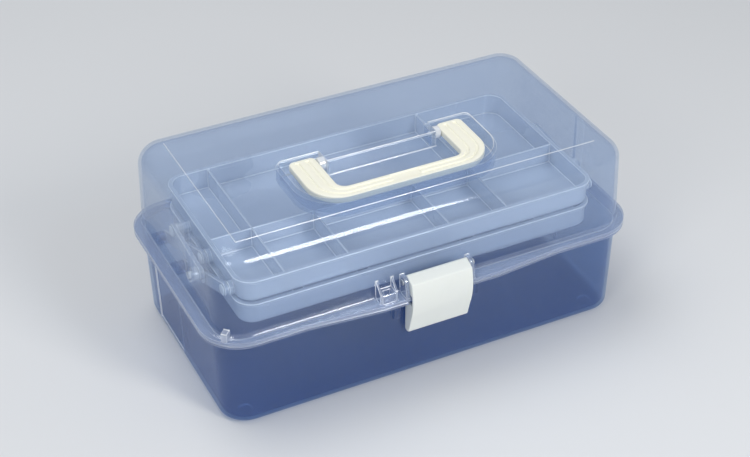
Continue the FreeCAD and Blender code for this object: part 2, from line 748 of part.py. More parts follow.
def make_base_hollow():
    """Make the space inside the base, less the bosses that hold the bar pins."""
    body = new_body("base_hollow")
    wall = size("base_wall")
    floor = size("foot_height") + size("base_floor")
    space = new_sketch(body, "XY_Plane", floor)
    draw_rounded(
        space, BASE_FOOT_END - wall, BASE_FOOT_FRONT - wall, size("base_corner") - wall
    )
    pad(body, space, BASE_TOP - floor)
    lean_walls(body, BASE_TOP - floor, size("base_flare"), outward=True)
    fillet(body, level_at(floor), size("base_edge") - wall)
    reach = BASE_FOOT_END + size("base_flare") - BOSS_FACE
    for side in SIDES.values():
        for place in (BAR_REAR, BAR_REAR - size("bar_spacing")):
            round_hole(body, side, BOSS_FACE, reach, place, BAR_HEIGHT, size("boss_radius"))
            round_post(body, side, BOSS_FACE, SEAT_DEPTH, place, BAR_HEIGHT, SEAT_RADIUS)
    return body


# ---------------------------------------------------------------- lid

def draw_pocket(sketch, grow):
    """Draw the handle pocket: a tray with two ears at the back, grown by a wall."""
    side = size("handle_width") / 2 + size("pocket_side") + grow
    front = -(size("handle_reach") + size("pocket_ahead") + grow)
    corner = size("pocket_corner") + grow
    rear = size("handle_heel") + size("ear_behind") + grow
    ear = size("ear_corner") + grow
    step = STEP_SIDE - grow
    face = -(size("step_front") - grow)
    draw_outline(sketch, [
        (side - corner, front),
        (side, front + corner, corner),
        (side, rear - ear),
        (side - ear, rear, ear),
        (step, rear),
        (step, face),
        (-step, face),
        (-step, rear),
        (ear - side, rear),
        (-side, rear - ear, ear),
        (-side, front + corner),
        (corner - side, front, corner),
    ])


def add_lugs(body):
    """Add the two lugs that hold the latch pin."""
    round_end = size("latch_barrel") - size("lug_inset")
    for side in SIDES.values():
        start = (size("latch_width") / 2 + size("side_gap")) * side
        plate = new_sketch(body, "YZ_Plane", start)
        root = -(LID_WALL_FRONT - size("lid_wall") / 2)
        low = LID_RIM_TOP - size("root_lap")
        draw_outline(plate, [
            (root, low),
            (root, LATCH_Z + size("lug_root_rise")),
            around_latch(size("lug_upper"), round_end),
            around_latch(size("lug_lower"), round_end),
            (-(BULGE_FRONT - size("root_lap")), low),
        ])
        pad(body, plate, size("lug_wall"), reverse=side < 0)
        eye = new_sketch(body, "YZ_Plane", start)
        draw_circle(eye, LATCH_Y, LATCH_Z, round_end)
        pad(body, eye, size("lug_wall"), reverse=side < 0)
        hole = new_sketch(body, "YZ_Plane", start)
        draw_circle(hole, LATCH_Y, LATCH_Z, size("latch_pin_radius") + size("seat_fit"))
        pocket(body, hole, size("lug_wall"), reverse=side > 0)


def add_padlock_eye(body):
    """Add the slotted block beside the latch, with a rib up the wall on each side."""
    root = -(LID_WALL_FRONT - size("lid_wall") / 2)
    low = LID_RIM_TOP - size("root_lap")
    top = LID_RIM_TOP + size("eye_height")
    chamfer = size("eye_chamfer")
    left = EYE_CENTRE - size("eye_width") / 2
    block = new_sketch(body, "YZ_Plane", left)
    draw_outline(block, [
        (root, low),
        (root, top),
        (EYE_FRONT + chamfer, top),
        (EYE_FRONT, top - chamfer),
        (EYE_FRONT, low),
    ])
    pad(body, block, size("eye_width"))
    for start in (left - size("eye_rib"), left + size("eye_width")):
        rib = new_sketch(body, "YZ_Plane", start)
        draw_outline(rib, [
            (root, low),
            (root, top + size("eye_rib_rise")),
            (EYE_FRONT + chamfer, top),
            (EYE_FRONT + chamfer, low),
        ])
        pad(body, rib, size("eye_rib"))
    cut_eye_slot(body, top, size("eye_height") + size("rim_thickness"))


def make_lid():
    """Make the lid with its rim, handle pocket, latch lugs and hinge knuckles."""
    body = new_body("lid_outer")
    low = new_sketch(body, "XY_Plane", LID_BOTTOM)
    draw_rounded(low, LID_WALL_END, LID_WALL_FRONT, size("lid_corner"))
    pad(body, low, LID_TOP - LID_BOTTOM)
    lean_walls(body, LID_TOP - LID_BOTTOM, size("lid_draft"), outward=False)
    fillet(body, level_at(LID_TOP), size("lid_edge"))
    add_rim(body, LID_BOTTOM)
    level = level_at(LID_RIM_TOP)
    end = LID_WALL_END.number
    front = LID_WALL_FRONT.number
    fillet(
        body,
        lambda box: level(box) and max(box.XMax, -box.XMin) < end and abs(box.YMax) < front,
        size("lid_foot"),
    )
    panel = new_sketch(body, "XY_Plane", LID_TOP)
    half_x = LID_WALL_END - size("panel_inset_x")
    half_y = LID_WALL_FRONT - size("panel_inset_y")
    draw_box(panel, -half_x, half_x, -half_y, half_y)
    pad(body, panel, size("panel_rise"))
    well = new_sketch(body, "XY_Plane", size("case_height"))
    draw_pocket(well, 0.0)
    pocket(body, well, size("pocket_depth"))

    for side in SIDES.values():
        end = LEG_INSIDE - size("side_gap")
        start = STEP_SIDE - size("root_lap")
        round_post(body, side, start, end - start, 0.0, HANDLE_AXIS, size("grip_boss"))
        start = STEP_SIDE - size("pocket_wall") - size("overcut")
        radius = size("grip_pin") + size("seat_fit")
        round_hole(body, side, start, end - start, 0.0, HANDLE_AXIS, radius)
        centre = size("hinge_place") * side - size("lid_knuckle") / 2
        knuckle(body, centre, size("lid_knuckle"), 1, below=False)
    add_lugs(body)
    add_padlock_eye(body)

    # One small block stands across the rim at the front left corner.
    rib = new_sketch(body, "XY_Plane", LID_RIM_TOP - size("root_lap"))
    turn = sine(SQUARE_CORNER / 2)
    corner_x = -(LID_WALL_END - size("lid_corner"))
    corner_y = -(LID_WALL_FRONT - size("lid_corner"))
    near = size("lid_corner") - size("lid_wall") / 2
    far = near + size("corner_rib_length")
    half = size("corner_rib_width") / 2
    draw_outline(rib, [
        (corner_x - turn * (near + half), corner_y - turn * (near - half)),
        (corner_x - turn * (far + half), corner_y - turn * (far - half)),
        (corner_x - turn * (far - half), corner_y - turn * (far + half)),
        (corner_x - turn * (near - half), corner_y - turn * (near + half)),
    ])
    pad(body, rib, size("eye_height"))
    return cut_pair("lid_shell", body, make_lid_hollow())


def make_lid_hollow():
    """Make the space inside the lid, less the handle pocket and the link bosses."""
    body = new_body("lid_hollow")
    wall = size("lid_wall")
    top = LID_TOP - wall
    space = new_sketch(body, "XY_Plane", LID_BOTTOM)
    draw_rounded(space, LID_WALL_END - wall, LID_WALL_FRONT - wall, size("lid_corner") - wall)
    pad(body, space, top - LID_BOTTOM)
    lean_walls(body, top - LID_BOTTOM, size("lid_draft"), outward=False)
    fillet(body, level_at(top), size("lid_edge") - wall)
    floor = size("case_height") - size("pocket_depth") - size("pocket_wall")
    well = new_sketch(body, "XY_Plane", floor)
    draw_pocket(well, size("pocket_wall"))
    pocket(body, well, size("pocket_depth"), reverse=True)
    for side in SIDES.values():
        pad_face = LID_WALL_END - wall - size("pad_thick")
        upright = new_sketch(body, "YZ_Plane", pad_face * side)
        top_end = LINK_LID[1] + size("pad_height") - size("pad_width") / 2
        draw_slot(upright, LINK_LID, (LINK_LID[0], top_end), size("pad_width") / 2)
        pocket(body, upright, size("pad_thick") + size("overcut"), reverse=side > 0)
        reach = LID_WALL_END - LID_BOSS_FACE
        round_hole(body, side, LID_BOSS_FACE, reach, *LINK_LID, size("boss_radius"))
        round_post(body, side, LID_BOSS_FACE, SEAT_DEPTH, *LINK_LID, SEAT_RADIUS)
    return body


# ---------------------------------------------------------------- handle

def draw_band(sketch, outside, inside, rear):
    """Draw a U along the handle between two shares of its width."""
    def place(share):
        half = size("handle_width") / 2 - size("leg_width") * share
        front = -(size("handle_reach") - size("grip_width") * share)
        change = size("handle_corner") - size("handle_inner")
        return half, front, size("handle_corner") - change * share

    half_out, front_out, corner_out = place(outside)
    half_in, front_in, corner_in = place(inside)
    draw_outline(sketch, [
        (-half_out, front_out + corner_out),
        (corner_out - half_out, front_out, corner_out),
        (half_out - corner_out, front_out),
        (half_out, front_out + corner_out, corner_out),
        (half_out, rear),
        (half_in, rear),
        (half_in, front_in + corner_in),
        (half_in - corner_in, front_in, -corner_in),
        (corner_in - half_in, front_in),
        (-half_in, front_in + corner_in, -corner_in),
        (-half_in, rear),
        (-half_out, rear),
    ])


def make_handle():
    """Make the carrying handle with its grooves and pin holes."""
    body = new_body("handle")
    outline = new_sketch(body, "XY_Plane", HANDLE_TOP - size("handle_thick"))
    draw_band(outline, as_size(0), as_size(1), size("handle_heel"))
    pad(body, outline, size("handle_thick"))
    heel = size("handle_heel").number
    fillet(
        body,
        lambda box: abs(box.YMin - heel) < NEAR and box.XLength < NEAR < box.ZLength,
        size("heel_round"),
    )
    top = HANDLE_TOP.number
    fillet(body, lambda box: box.ZMin > top - NEAR, size("handle_edge"))
    under = (HANDLE_TOP - size("handle_thick")).number
    fillet(body, lambda box: box.ZMax < under + NEAR, size("handle_under"))
    ridge = (size("leg_width") - size("groove_width") * 2) / 3
    for start in (ridge, ridge * 2 + size("groove_width")):
        groove = new_sketch(body, "XY_Plane", HANDLE_TOP)
        draw_band(
            groove,
            start / size("leg_width"),
            (start + size("groove_width")) / size("leg_width"),
            size("handle_heel") - size("groove_end"),
        )
        pocket(body, groove, size("groove_depth"))
    blank = new_sketch(body, "XY_Plane", HANDLE_TOP)
    blank_end = size("blank_length") / 2
    blank_front = ridge * size("grip_width") / size("leg_width") - size("handle_reach")
    blank_back = size("grip_width") - size("blank_rear") - size("handle_reach")
    draw_outline(blank, [
        (-blank_end, blank_front),
        (blank_end, blank_front),
        (blank_end, blank_back),
        (-blank_end, blank_back),
    ])
    pocket(body, blank, size("groove_depth"))
    for side in SIDES.values():
        round_hole(
            body, side, LEG_INSIDE - size("overcut"),
            size("overcut") + size("grip_pin_depth") + size("end_gap"),
            0.0, HANDLE_AXIS, size("grip_pin") + size("turning_fit"),
        )
    return body


def make_handle_pins():
    """Make the two pins that the handle turns on."""
    inner = STEP_SIDE - size("pocket_wall") - size("seat_fit")
    head = size("grip_pin") + size("grip_head_lip")
    return [
        turned_pin(
            f"handle_pin_{name}",
            [
                (inner - size("grip_head_thick"), inner, head),
                (inner, LEG_INSIDE + size("grip_pin_depth"), size("grip_pin")),
            ],
            0.0, HANDLE_AXIS, side,
        )
        for name, side in SIDES.items()
    ]


# ---------------------------------------------------------------- latch

def around_latch(angle, radius):
    """Return the point at an angle and radius about the latch pin."""
    return (LATCH_Y + cosine(angle) * radius, LATCH_Z + sine(angle) * radius)


def on_top_face(forward, sink):
    """Return the point that far before the latch pin along the top face, and that deep."""
    slope = size("top_slope")
    rise = size("top_rise") - sink
    return (
        LATCH_Y - sine(slope) * rise - cosine(slope) * forward,
        LATCH_Z + cosine(slope) * rise - sine(slope) * forward,
    )


def make_latch():
    """Make the latch: a bowed plate with side cheeks and a sloping top over its pin."""
    body = new_body("latch")
    barrel = size("latch_barrel")
    wall = size("latch_wall")
    bow = size("latch_bow")
    bottom = size("parting_height") - size("latch_drop")
    swell = -(BULGE_FRONT + size("latch_swell"))
    cheek_rear = -(BASE_WALL_FRONT + size("cheek_gap"))
    mouth_front = -(BULGE_FRONT + size("mouth_in"))
    mouth_rear = cheek_rear - size("mouth_run")
    mouth_low = BASE_RIM_UNDER - size("mouth_below")
    mouth_high = LID_RIM_TOP + size("mouth_above")
    bow_end = swell + size("bow_end_in")
    bow_low = bottom + size("bow_end_up")
    toe = swell + size("toe_in")
    side_view = new_sketch(body, "YZ_Plane")
    draw_outline(side_view, [
        (*on_top_face(-size("top_back"), as_size(0)), barrel),
        on_top_face(size("top_front"), as_size(0)),
        (bow_end, bow_low, bow),
        (toe, bottom + size("toe_up")),
        (toe + size("toe_run"), bottom),
        (cheek_rear, bottom + size("cheek_foot")),
        (cheek_rear, mouth_low - size("mouth_below_slope")),
        (mouth_rear, mouth_low),
        (mouth_front, mouth_low),
        (mouth_front, mouth_high),
        (mouth_rear, mouth_high + size("mouth_above_slope")),
        around_latch(size("cheek_turn"), barrel),
    ])
    pad(body, side_view, size("latch_width"), midplane=True)
    inside = new_sketch(body, "YZ_Plane")
    under_top = on_top_face(-size("top_back"), size("top_wall"))
    past = cheek_rear + barrel
    draw_outline(inside, [
        under_top,
        on_top_face(size("top_front") - size("top_turn"), size("top_wall")),
        (bow_end + wall, bow_low, bow - wall),
        (toe + wall, bottom + size("toe_up") + size("toe_wall")),
        (toe + wall + size("toe_wall"), bottom - size("overcut")),
        (past, bottom - size("overcut")),
        (past, under_top[1]),
    ])
    pocket(body, inside, size("latch_width") - size("cheek_wall") * 2, midplane=True)
    hole = new_sketch(body, "YZ_Plane")
    draw_circle(hole, LATCH_Y, LATCH_Z, size("latch_pin_radius") + size("turning_fit"))
    pocket(body, hole, size("latch_width"), midplane=True)

    # A nib inside the plate stands just below the catch when the latch is closed.
    nib = new_sketch(body, "YZ_Plane")
    nib_top = BASE_RIM_UNDER - size("nib_drop")
    nib_root = bow_end + wall / 2
    nib_tip = -(BASE_WALL_FRONT + size("catch_reach") + size("side_gap"))
    draw_outline(nib, [
        (nib_root, nib_top - size("nib_root")),
        (nib_tip, nib_top - size("nib_tip")),
        (nib_tip, nib_top),
        (nib_root, nib_top),
    ])
    pad(body, nib, size("catch_width") - size("nib_side") * 2, midplane=True)
    return body


def make_latch_pin():
    """Make the headed pin that the latch turns on."""
    face = size("latch_width") / 2 + size("side_gap") + size("lug_wall") + size("seat_fit")
    head = size("latch_pin_radius") + size("latch_head_lip")
    thick = size("latch_head_thick")
    return turned_pin(
        "latch_pin",
        [
            (-face - thick, -face, head),
            (-face, face, size("latch_pin_radius")),
            (face, face + thick, head),
        ],
        LATCH_Y, LATCH_Z,
    )


def make_hinge_pins():
    """Make one pin for each group of lid hinge knuckles."""
    half = size("lid_knuckle") / 2 + size("side_gap") + size("base_knuckle")
    return [
        turned_pin(
            f"hinge_pin_{name}",
            [(-half, half, size("hinge_pin_radius"))],
            HINGE_Y, HINGE_Z, side, size("hinge_place") * side,
        )
        for name, side in SIDES.items()
    ]


# ---------------------------------------------------------------- trays

def add_partition(body, floor, rise, left, right, front, back):
    """Add one upright partition to a tray."""
    sketch = new_sketch(body, "XY_Plane", floor)
    draw_box(sketch, left, right, front, back)
    pad(body, sketch, rise)


def make_tray(name, floor, pivots, dividers, link_boss):
    """Make one tray with its partitions and the bosses for its pins."""
    body = new_body(name)
    lip = size("tray_lip")
    corner = size("tray_corner") - lip
    block = new_sketch(body, "XY_Plane", floor)
    draw_rounded(block, TRAY_END, TRAY_FRONT, corner)
    pad(body, block, size("tray_height"))
    fillet(body, level_at(floor), size("tray_edge"))
    edge = new_sketch(body, "XY_Plane", floor + size("tray_height"))
    draw_rounded(edge, TRAY_END + lip, TRAY_FRONT + lip, corner + lip)
    pad(body, edge, size("tray_lip_height"), reverse=True)
    space = new_sketch(body, "XY_Plane", floor + size("tray_height"))
    wall = size("tray_wall")
    draw_rounded(space, TRAY_END - wall, TRAY_FRONT - wall, corner - wall)
    pocket(body, space, size("tray_height") - size("tray_floor"))

    base = floor + size("tray_floor") / 2
    rise = size("tray_height") - size("tray_floor") / 2 - size("partition_drop")
    half = size("partition_wall") / 2
    row = -size("row_wall")
    end = TRAY_END - wall / 2
    side = TRAY_FRONT - wall / 2
    add_partition(body, base, rise, -end, end, row - half, row + half)
    for divider, both in dividers:
        place = size(divider)
        back = side if both else row
        add_partition(body, base, rise, place - half, place + half, -side, back)

    for direction in SIDES.values():
        for place, height in pivots:
            length = TRAY_BOSS_FACE - end
            round_post(body, direction, end, length, place, height, size("boss_radius"))
            round_hole(body, direction, end, length, place, height, SEAT_RADIUS)
        if link_boss:
            length = TRAY_LINK_FACE - end
            round_post(body, direction, end, length, *LINK_TRAY, size("tray_link_boss"))
            round_hole(body, direction, end, length, *LINK_TRAY, SEAT_RADIUS)
    return body


# ---------------------------------------------------------------- linkage

def along_bar(share, rear):
    """Return the point a share of the way up the front or rear bar."""
    place = BAR_REAR if rear else BAR_REAR - size("bar_spacing")
    return (place + BAR_RUN * share, BAR_HEIGHT + BAR_RISE * share)


def make_bar(name, side, rear):
    """Make one lifting bar with a hole at each end and one between."""
    body = new_body(name)
    sketch = new_sketch(body, "YZ_Plane", BAR_LANE * side)
    draw_slot(sketch, along_bar(0, rear), along_bar(1, rear), size("bar_round"))
    pad(body, sketch, size("bar_thick"), reverse=side < 0)
    for share in (0, MIDDLE_HOLE, 1):
        place, height = along_bar(share, rear)
        round_hole(body, side, BAR_LANE, size("bar_thick"), place, height, TURN_RADIUS)
    return body


def make_link(name, side):
    """Make one link between the lid and the upper tray."""
    body = new_body(name)
    sketch = new_sketch(body, "YZ_Plane", LINK_LANE * side)
    draw_slot(sketch, LINK_LID, LINK_TRAY, size("link_round"))
    pad(body, sketch, size("link_thick"), reverse=side < 0)
    thick = size("link_thick")
    slack = size("pin_radius") + size("link_slack")
    round_hole(body, side, LINK_LANE, thick, *LINK_LID, TURN_RADIUS)
    round_hole(body, side, LINK_LANE, thick, *LINK_TRAY, slack)
    return body


def make_linkage():
    """Make the bars, the links and the headed pins that join them."""
    parts = []
    head = size("pin_head")
    shank = size("pin_radius")
    thick = size("pin_head_thick")
    gap = size("side_gap")
    inside = TRAY_END - size("tray_wall") / 2 + size("end_gap")
    head_in = BAR_LANE - gap
    head_out = BAR_FACE_OUT + gap
    link_head_in = LINK_LANE - gap
    link_head_out = LINK_FACE_OUT + gap
    into_wall = SEAT_DEPTH - size("end_gap")
    for name, side in SIDES.items():
        for place, rear in (("front", False), ("rear", True)):
            parts.append(make_bar(f"bar_{place}_{name}", side, rear))
            parts.append(turned_pin(
                f"base_pin_{place}_{name}",
                [(head_in - thick, head_in, head), (head_in, BOSS_FACE + into_wall, shank)],
                *along_bar(0, rear), side,
            ))
            for tray, share in (("lower", MIDDLE_HOLE), ("upper", 1)):
                parts.append(turned_pin(
                    f"{tray}_tray_pin_{place}_{name}",
                    [(inside, head_out, shank), (head_out, head_out + thick, head)],
                    *along_bar(share, rear), side,
                ))
        parts.append(make_link(f"lid_link_{name}", side))
        parts.append(turned_pin(
            f"tray_link_pin_{name}",
            [(inside, link_head_out, shank), (link_head_out, link_head_out + thick, head)],
            *LINK_TRAY, side,
        ))
        parts.append(turned_pin(
            f"lid_link_pin_{name}",
            [
                (link_head_in - thick, link_head_in, head),
                (link_head_in, LID_BOSS_FACE + into_wall, shank),
            ],
            *LINK_LID, side,
        ))
    return parts


# ---------------------------------------------------------------- whole case

def make_case():
    """Make every sub-part of the case."""
    upper = [along_bar(1, rear) for rear in (False, True)]
    lower = [along_bar(MIDDLE_HOLE, rear) for rear in (False, True)]
    parts = [make_base(), make_lid(), make_handle(), make_latch(), make_latch_pin()]
    parts.append(make_tray(
        "upper_tray",
        LOWER_TRAY_FLOOR + size("tray_pitch"),
        upper,
        [
            ("divider_far_left", True),
            ("divider_near_left", False),
            ("divider_near_right", False),
            ("divider_far_right", True),
        ],
        True,
    ))
    parts.append(make_tray(
        "lower_tray",
        LOWER_TRAY_FLOOR,
        lower,
        [
            ("divider_outer_left", False),
            ("divider_inner_left", False),
            ("divider_inner_right", False),
            ("divider_outer_right", False),
        ],
        False,
    ))
    return parts + make_handle_pins() + make_hinge_pins() + make_linkage()


def check_document():
    """Stop if any object of the document failed to build."""
    for item in doc.Objects:
        if "Invalid" in item.State or "Error" in item.State:
            raise RuntimeError(f"{item.Name} did not build: {item.State}")


def check_part(part):
    """Stop if a sub-part is missing, broken or in more than one piece."""
    shape = part.Shape
    if shape.isNull() or not shape.isValid() or len(shape.Solids) != 1:
        raise RuntimeError(f"{part.Label} is not one sound solid")


def write_parts(parts):
    """Check every sub-part and write each one to its own file."""
    doc.recompute()
    check_document()
    for part in parts:
        check_part(part)
    os.makedirs("parts", exist_ok=True)
    for part in parts:
        part.Shape.exportStep(os.path.join("parts", f"{part.Label}.step"))


write_parts(make_case())
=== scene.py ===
"""Looks for a clear storage case with a hinged lid, a sunk handle and two lifting trays."""

import json
import logging
import math
from collections.abc import Callable, Iterator
from contextlib import contextmanager
from dataclasses import dataclass
from enum import Enum
from itertools import combinations

import bmesh
import bpy
from mathutils import Matrix, Vector
from mathutils.geometry import intersect_point_line


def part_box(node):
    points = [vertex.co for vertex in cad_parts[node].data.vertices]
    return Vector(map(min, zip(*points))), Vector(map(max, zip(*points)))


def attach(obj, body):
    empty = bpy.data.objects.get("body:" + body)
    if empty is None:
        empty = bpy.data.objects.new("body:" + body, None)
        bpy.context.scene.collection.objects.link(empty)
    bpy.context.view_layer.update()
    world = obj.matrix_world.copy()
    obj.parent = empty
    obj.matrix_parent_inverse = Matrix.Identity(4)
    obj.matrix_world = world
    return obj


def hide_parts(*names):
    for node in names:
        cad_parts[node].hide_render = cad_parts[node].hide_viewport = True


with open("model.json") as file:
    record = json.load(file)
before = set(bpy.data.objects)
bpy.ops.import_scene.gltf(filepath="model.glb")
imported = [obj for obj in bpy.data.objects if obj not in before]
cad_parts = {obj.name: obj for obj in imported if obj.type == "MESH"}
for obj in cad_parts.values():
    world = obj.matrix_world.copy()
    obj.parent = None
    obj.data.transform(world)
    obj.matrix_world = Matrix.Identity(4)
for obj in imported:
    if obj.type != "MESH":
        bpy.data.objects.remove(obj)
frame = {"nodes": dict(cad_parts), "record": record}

log = logging.getLogger("storage_case")
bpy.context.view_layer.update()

# Metres in a millimetre.
MM = 0.001
# Face attribute that is 1 on rounded edges and 0 on plain faces; it places painted highlight
# on the clear plastic.
EDGE_HIGHLIGHT_MARK = "painted_edge_highlight"
# Edge attribute from which a bevel takes each edge's share of its width.
BEVEL_SHARE = "bevel_weight_edge"
# Edges that turn more than this are creases, which are rounded.
CREASE = math.radians(32)
# Faces that turn less than this shade as one smooth surface.
SMOOTH_MOULDING = math.radians(34)
SMOOTH_RIVET = math.radians(40)
# Cosine of the turn up to which faces count as one flat region.
FLAT = math.cos(math.radians(0.5))
# Cosine of the turn up to which one crease carries on into the next.
CARRY_ON = math.cos(math.radians(50))
# Share of a face's free width that its roundings may take, and the least that one gets.
ROOM = 0.9
LEAST_SHARE = 0.01
# Points nearer than this are merged, and faces that turn less than this are joined.
MERGE_REACH = 1e-4
MERGE_TURN = math.radians(1.0)
# How much of a face's size counts when shading normals are averaged, from 0 to 100.
EVEN_WEIGHT = 60
# Layers of clear plastic that a line of sight may cross.
CLEAR_LAYERS = 64
# Where the lamps point.
CASE_MIDDLE = (0.0, 0.0, 0.09)

Colour = tuple[float, float, float]
Place = tuple[float, float, float]
EdgeTest = Callable[[bmesh.types.BMEdge], bool]


# ------------------------------------------------------------------ shader maths


class Term:
    """A number socket whose Python operators add Math nodes."""

    def __init__(self, graph: "Graph", socket: bpy.types.NodeSocket) -> None:
        """Hold a graph and one of its output sockets."""
        self.graph = graph
        self.socket = socket

    def __add__(self, other: "Term | float") -> "Term":
        """Return self + other."""
        return self.graph.maths("ADD", self, other)

    def __radd__(self, other: float) -> "Term":
        """Return other + self."""
        return self.graph.maths("ADD", other, self)

    def __sub__(self, other: "Term | float") -> "Term":
        """Return self - other."""
        return self.graph.maths("SUBTRACT", self, other)

    def __mul__(self, other: "Term | float") -> "Term":
        """Return self * other."""
        return self.graph.maths("MULTIPLY", self, other)

    def __pow__(self, power: float) -> "Term":
        """Return self raised to a power."""
        return self.graph.maths("POWER", self, power)

    def between(self, low: float, high: float) -> "Term":
        """Return 0 below low and 1 above high, with a smooth step between.

        Args:
            low: Value at which the step starts.
            high: Value at which it ends.

        Returns:
            The stepped value.
        """
        step = self.graph.add(
            "ShaderNodeMapRange",
            {"interpolation_type": "SMOOTHSTEP"},
            {"Value": self, "From Min": low, "From Max": high},
        )
        return Term(self.graph, step.outputs["Result"])


class Graph:
    """The node tree of one material."""

    def __init__(self, name: str) -> None:
        """Make an empty material of that name."""
        self.material = bpy.data.materials.new(name)
        self.material.use_nodes = True
        self.tree = self.material.node_tree
        self.tree.nodes.clear()

    def add(
        self, kind: str, settings: dict | None = None, sockets: dict | None = None
    ) -> bpy.types.Node:
        """Add one node.

        Args:
            kind: The node's type.
            settings: Its own properties, set first.
            sockets: Input names with the values or links that they take.

        Returns:
            The new node.
        """
        node = self.tree.nodes.new(kind)
        for name, value in (settings or {}).items():
            setattr(node, name, value)
        for name, value in (sockets or {}).items():
            if isinstance(value, Term):
                value = value.socket
            if isinstance(value, bpy.types.NodeSocket):
                self.tree.links.new(value, node.inputs[name])
            else:
                node.inputs[name].default_value = value
        return node

    def maths(self, operation: str, first: Term | float, second: Term | float) -> Term:
        """Join two numbers with a Math node.

        Args:
            operation: The Math node's operation.
            first: Its first number.
            second: Its second number.

        Returns:
            The result.
        """
        node = self.add("ShaderNodeMath", {"operation": operation}, {0: first, 1: second})
        return Term(self, node.outputs[0])

    def noise(
        self,
        scale: float,
        detail: float = 2.0,
        rough: float = 0.5,
        stretch: Place = (1.0, 1.0, 1.0),
    ) -> Term:
        """Return cloudy noise on the piece's own coordinates.

        Args:
            scale: Clouds in a metre.
            detail: Finer layers added to them.
            rough: Strength of those layers.
            stretch: Factor on the scale along X, Y and Z.

        Returns:
            Noise from 0 to 1.
        """
        place = self.add("ShaderNodeTexCoord")
        sized = self.add(
            "ShaderNodeMapping", None, {"Vector": place.outputs["Object"], "Scale": stretch}
        )
        cloud = self.add(
            "ShaderNodeTexNoise",
            None,
            {
                "Vector": sized.outputs["Vector"],
                "Scale": scale,
                "Detail": detail,
                "Roughness": rough,
            },
        )
        return Term(self, cloud.outputs["Fac"])

    def marked(self, name: str) -> Term:
        """Return the mesh attribute of that name."""
        mark = self.add("ShaderNodeAttribute", {"attribute_name": name})
        return Term(self, mark.outputs["Fac"])

    def grazing(self) -> Term:
        """Return 0 where a face is met square on and 1 where it is grazed."""
        weight = self.add("ShaderNodeLayerWeight", None, {"Blend": 0.5})
        return Term(self, weight.outputs["Facing"])

    def tint(
        self, low: Colour | bpy.types.NodeSocket, high: Colour, share: Term
    ) -> bpy.types.NodeSocket:
        """Mix two colours.

        Args:
            low: Colour, or a colour's socket, where the share is 0.
            high: Colour where it is 1.
            share: How much of the second colour shows.

        Returns:
            The mixed colour's socket.
        """
        first = low if isinstance(low, bpy.types.NodeSocket) else (*low, 1.0)
        mix = self.add(
            "ShaderNodeMix",
            {"data_type": "RGBA"},
            {"Factor": share, 6: first, 7: (*high, 1.0)},
        )
        return mix.outputs[2]

    def bump(self, height: Term, depth: float) -> bpy.types.NodeSocket:
        """Return a normal bent by a height pattern of the given depth in metres."""
        node = self.add(
            "ShaderNodeBump", None, {"Height": height, "Distance": depth, "Strength": 1.0}
        )
        return node.outputs["Normal"]

    def dress(
        self, sockets: dict, cover: Term | None = None, passed: Colour = (1.0, 1.0, 1.0)
    ) -> bpy.types.Material:
        """Finish the material with one Principled shader.

        Args:
            sockets: The shader's input names with their values or links.
            cover: How much of what is behind the surface it hides, or None for all of it.
            passed: Tint of the light that is let through.

        Returns:
            The finished material.
        """
        surface = self.add("ShaderNodeBsdfPrincipled", None, sockets).outputs["BSDF"]
        if cover is not None:
            clear = self.add("ShaderNodeBsdfTransparent", None, {"Color": (*passed, 1.0)})
            layers = {0: cover, 1: clear.outputs["BSDF"], 2: surface}
            surface = self.add("ShaderNodeMixShader", None, layers).outputs["Shader"]
        self.add("ShaderNodeOutputMaterial", None, {"Surface": surface})
        return self.material


# ------------------------------------------------------------------ finishes


@dataclass(frozen=True)
class ClearPlastic:
    """Clear moulded plastic with a milky haze, flow marks, fine scuffs, and painted highlight
    on its rounded edges.
    """

    name: str
    slot: str
    passed: Colour
    tint: Colour
    haze: Colour
    # Pale colour painted on rounded edges as a highlight; the cover there also makes them
    # milkier.
    edge_highlight: Colour
    face_cover: float
    rim_cover: float
    highlight_cover: float
    roughness: float
    grain: float
    mottle: float = 0.08
    speckle: float = 0.05
    dull_cloud: float = 0.04
    dull_scuff: float = 0.05
    scuff_height: float = 0.04
    relief: float = 0.02 * MM
    ior: float = 1.85
    gloss: float = 0.95
    coat_ior: float = 1.6
    coat_roughness: float = 0.04

    def material(self) -> bpy.types.Material:
        """Build the node material and return it."""
        graph = Graph(self.name)
        cloud = graph.noise(9.0, detail=3.0, rough=0.55)
        flow = graph.noise(6.0, stretch=(1.0, 1.0, 5.0))
        speck = graph.noise(1400.0, detail=1.0).between(0.72, 0.8)
        streaks = graph.noise(30.0, rough=0.6, stretch=(1.0, 26.0, 26.0))
        scuff = streaks.between(0.66, 0.74)
        grain = graph.noise(2600.0, detail=1.0)
        milky = cloud * 0.6 + flow * 0.4
        slant = graph.grazing() ** 3.0
        # The edge mark places the painted highlight: marked faces turn towards the pale
        # highlight colour and cover more of what is behind.
        edge = graph.marked(EDGE_HIGHLIGHT_MARK)
        cover = (
            slant * (self.rim_cover - self.face_cover)
            + (milky - 0.5) * self.mottle
            + speck * self.speckle
            + edge * self.highlight_cover
            + self.face_cover
        )
        height = grain * self.grain + scuff * self.scuff_height
        body = graph.tint(self.tint, self.haze, milky * 0.5 + slant * 0.6)
        dull = self.roughness + cloud * self.dull_cloud + scuff * self.dull_scuff
        return graph.dress(
            {
                "Base Color": graph.tint(body, self.edge_highlight, edge),
                "Roughness": dull,
                "Normal": graph.bump(height, self.relief),
                "IOR": self.ior,
                "Specular IOR Level": self.gloss,
                "Coat Weight": 1.0,
                "Coat IOR": self.coat_ior,
                "Coat Roughness": self.coat_roughness,
            },
            cover,
            self.passed,
        )


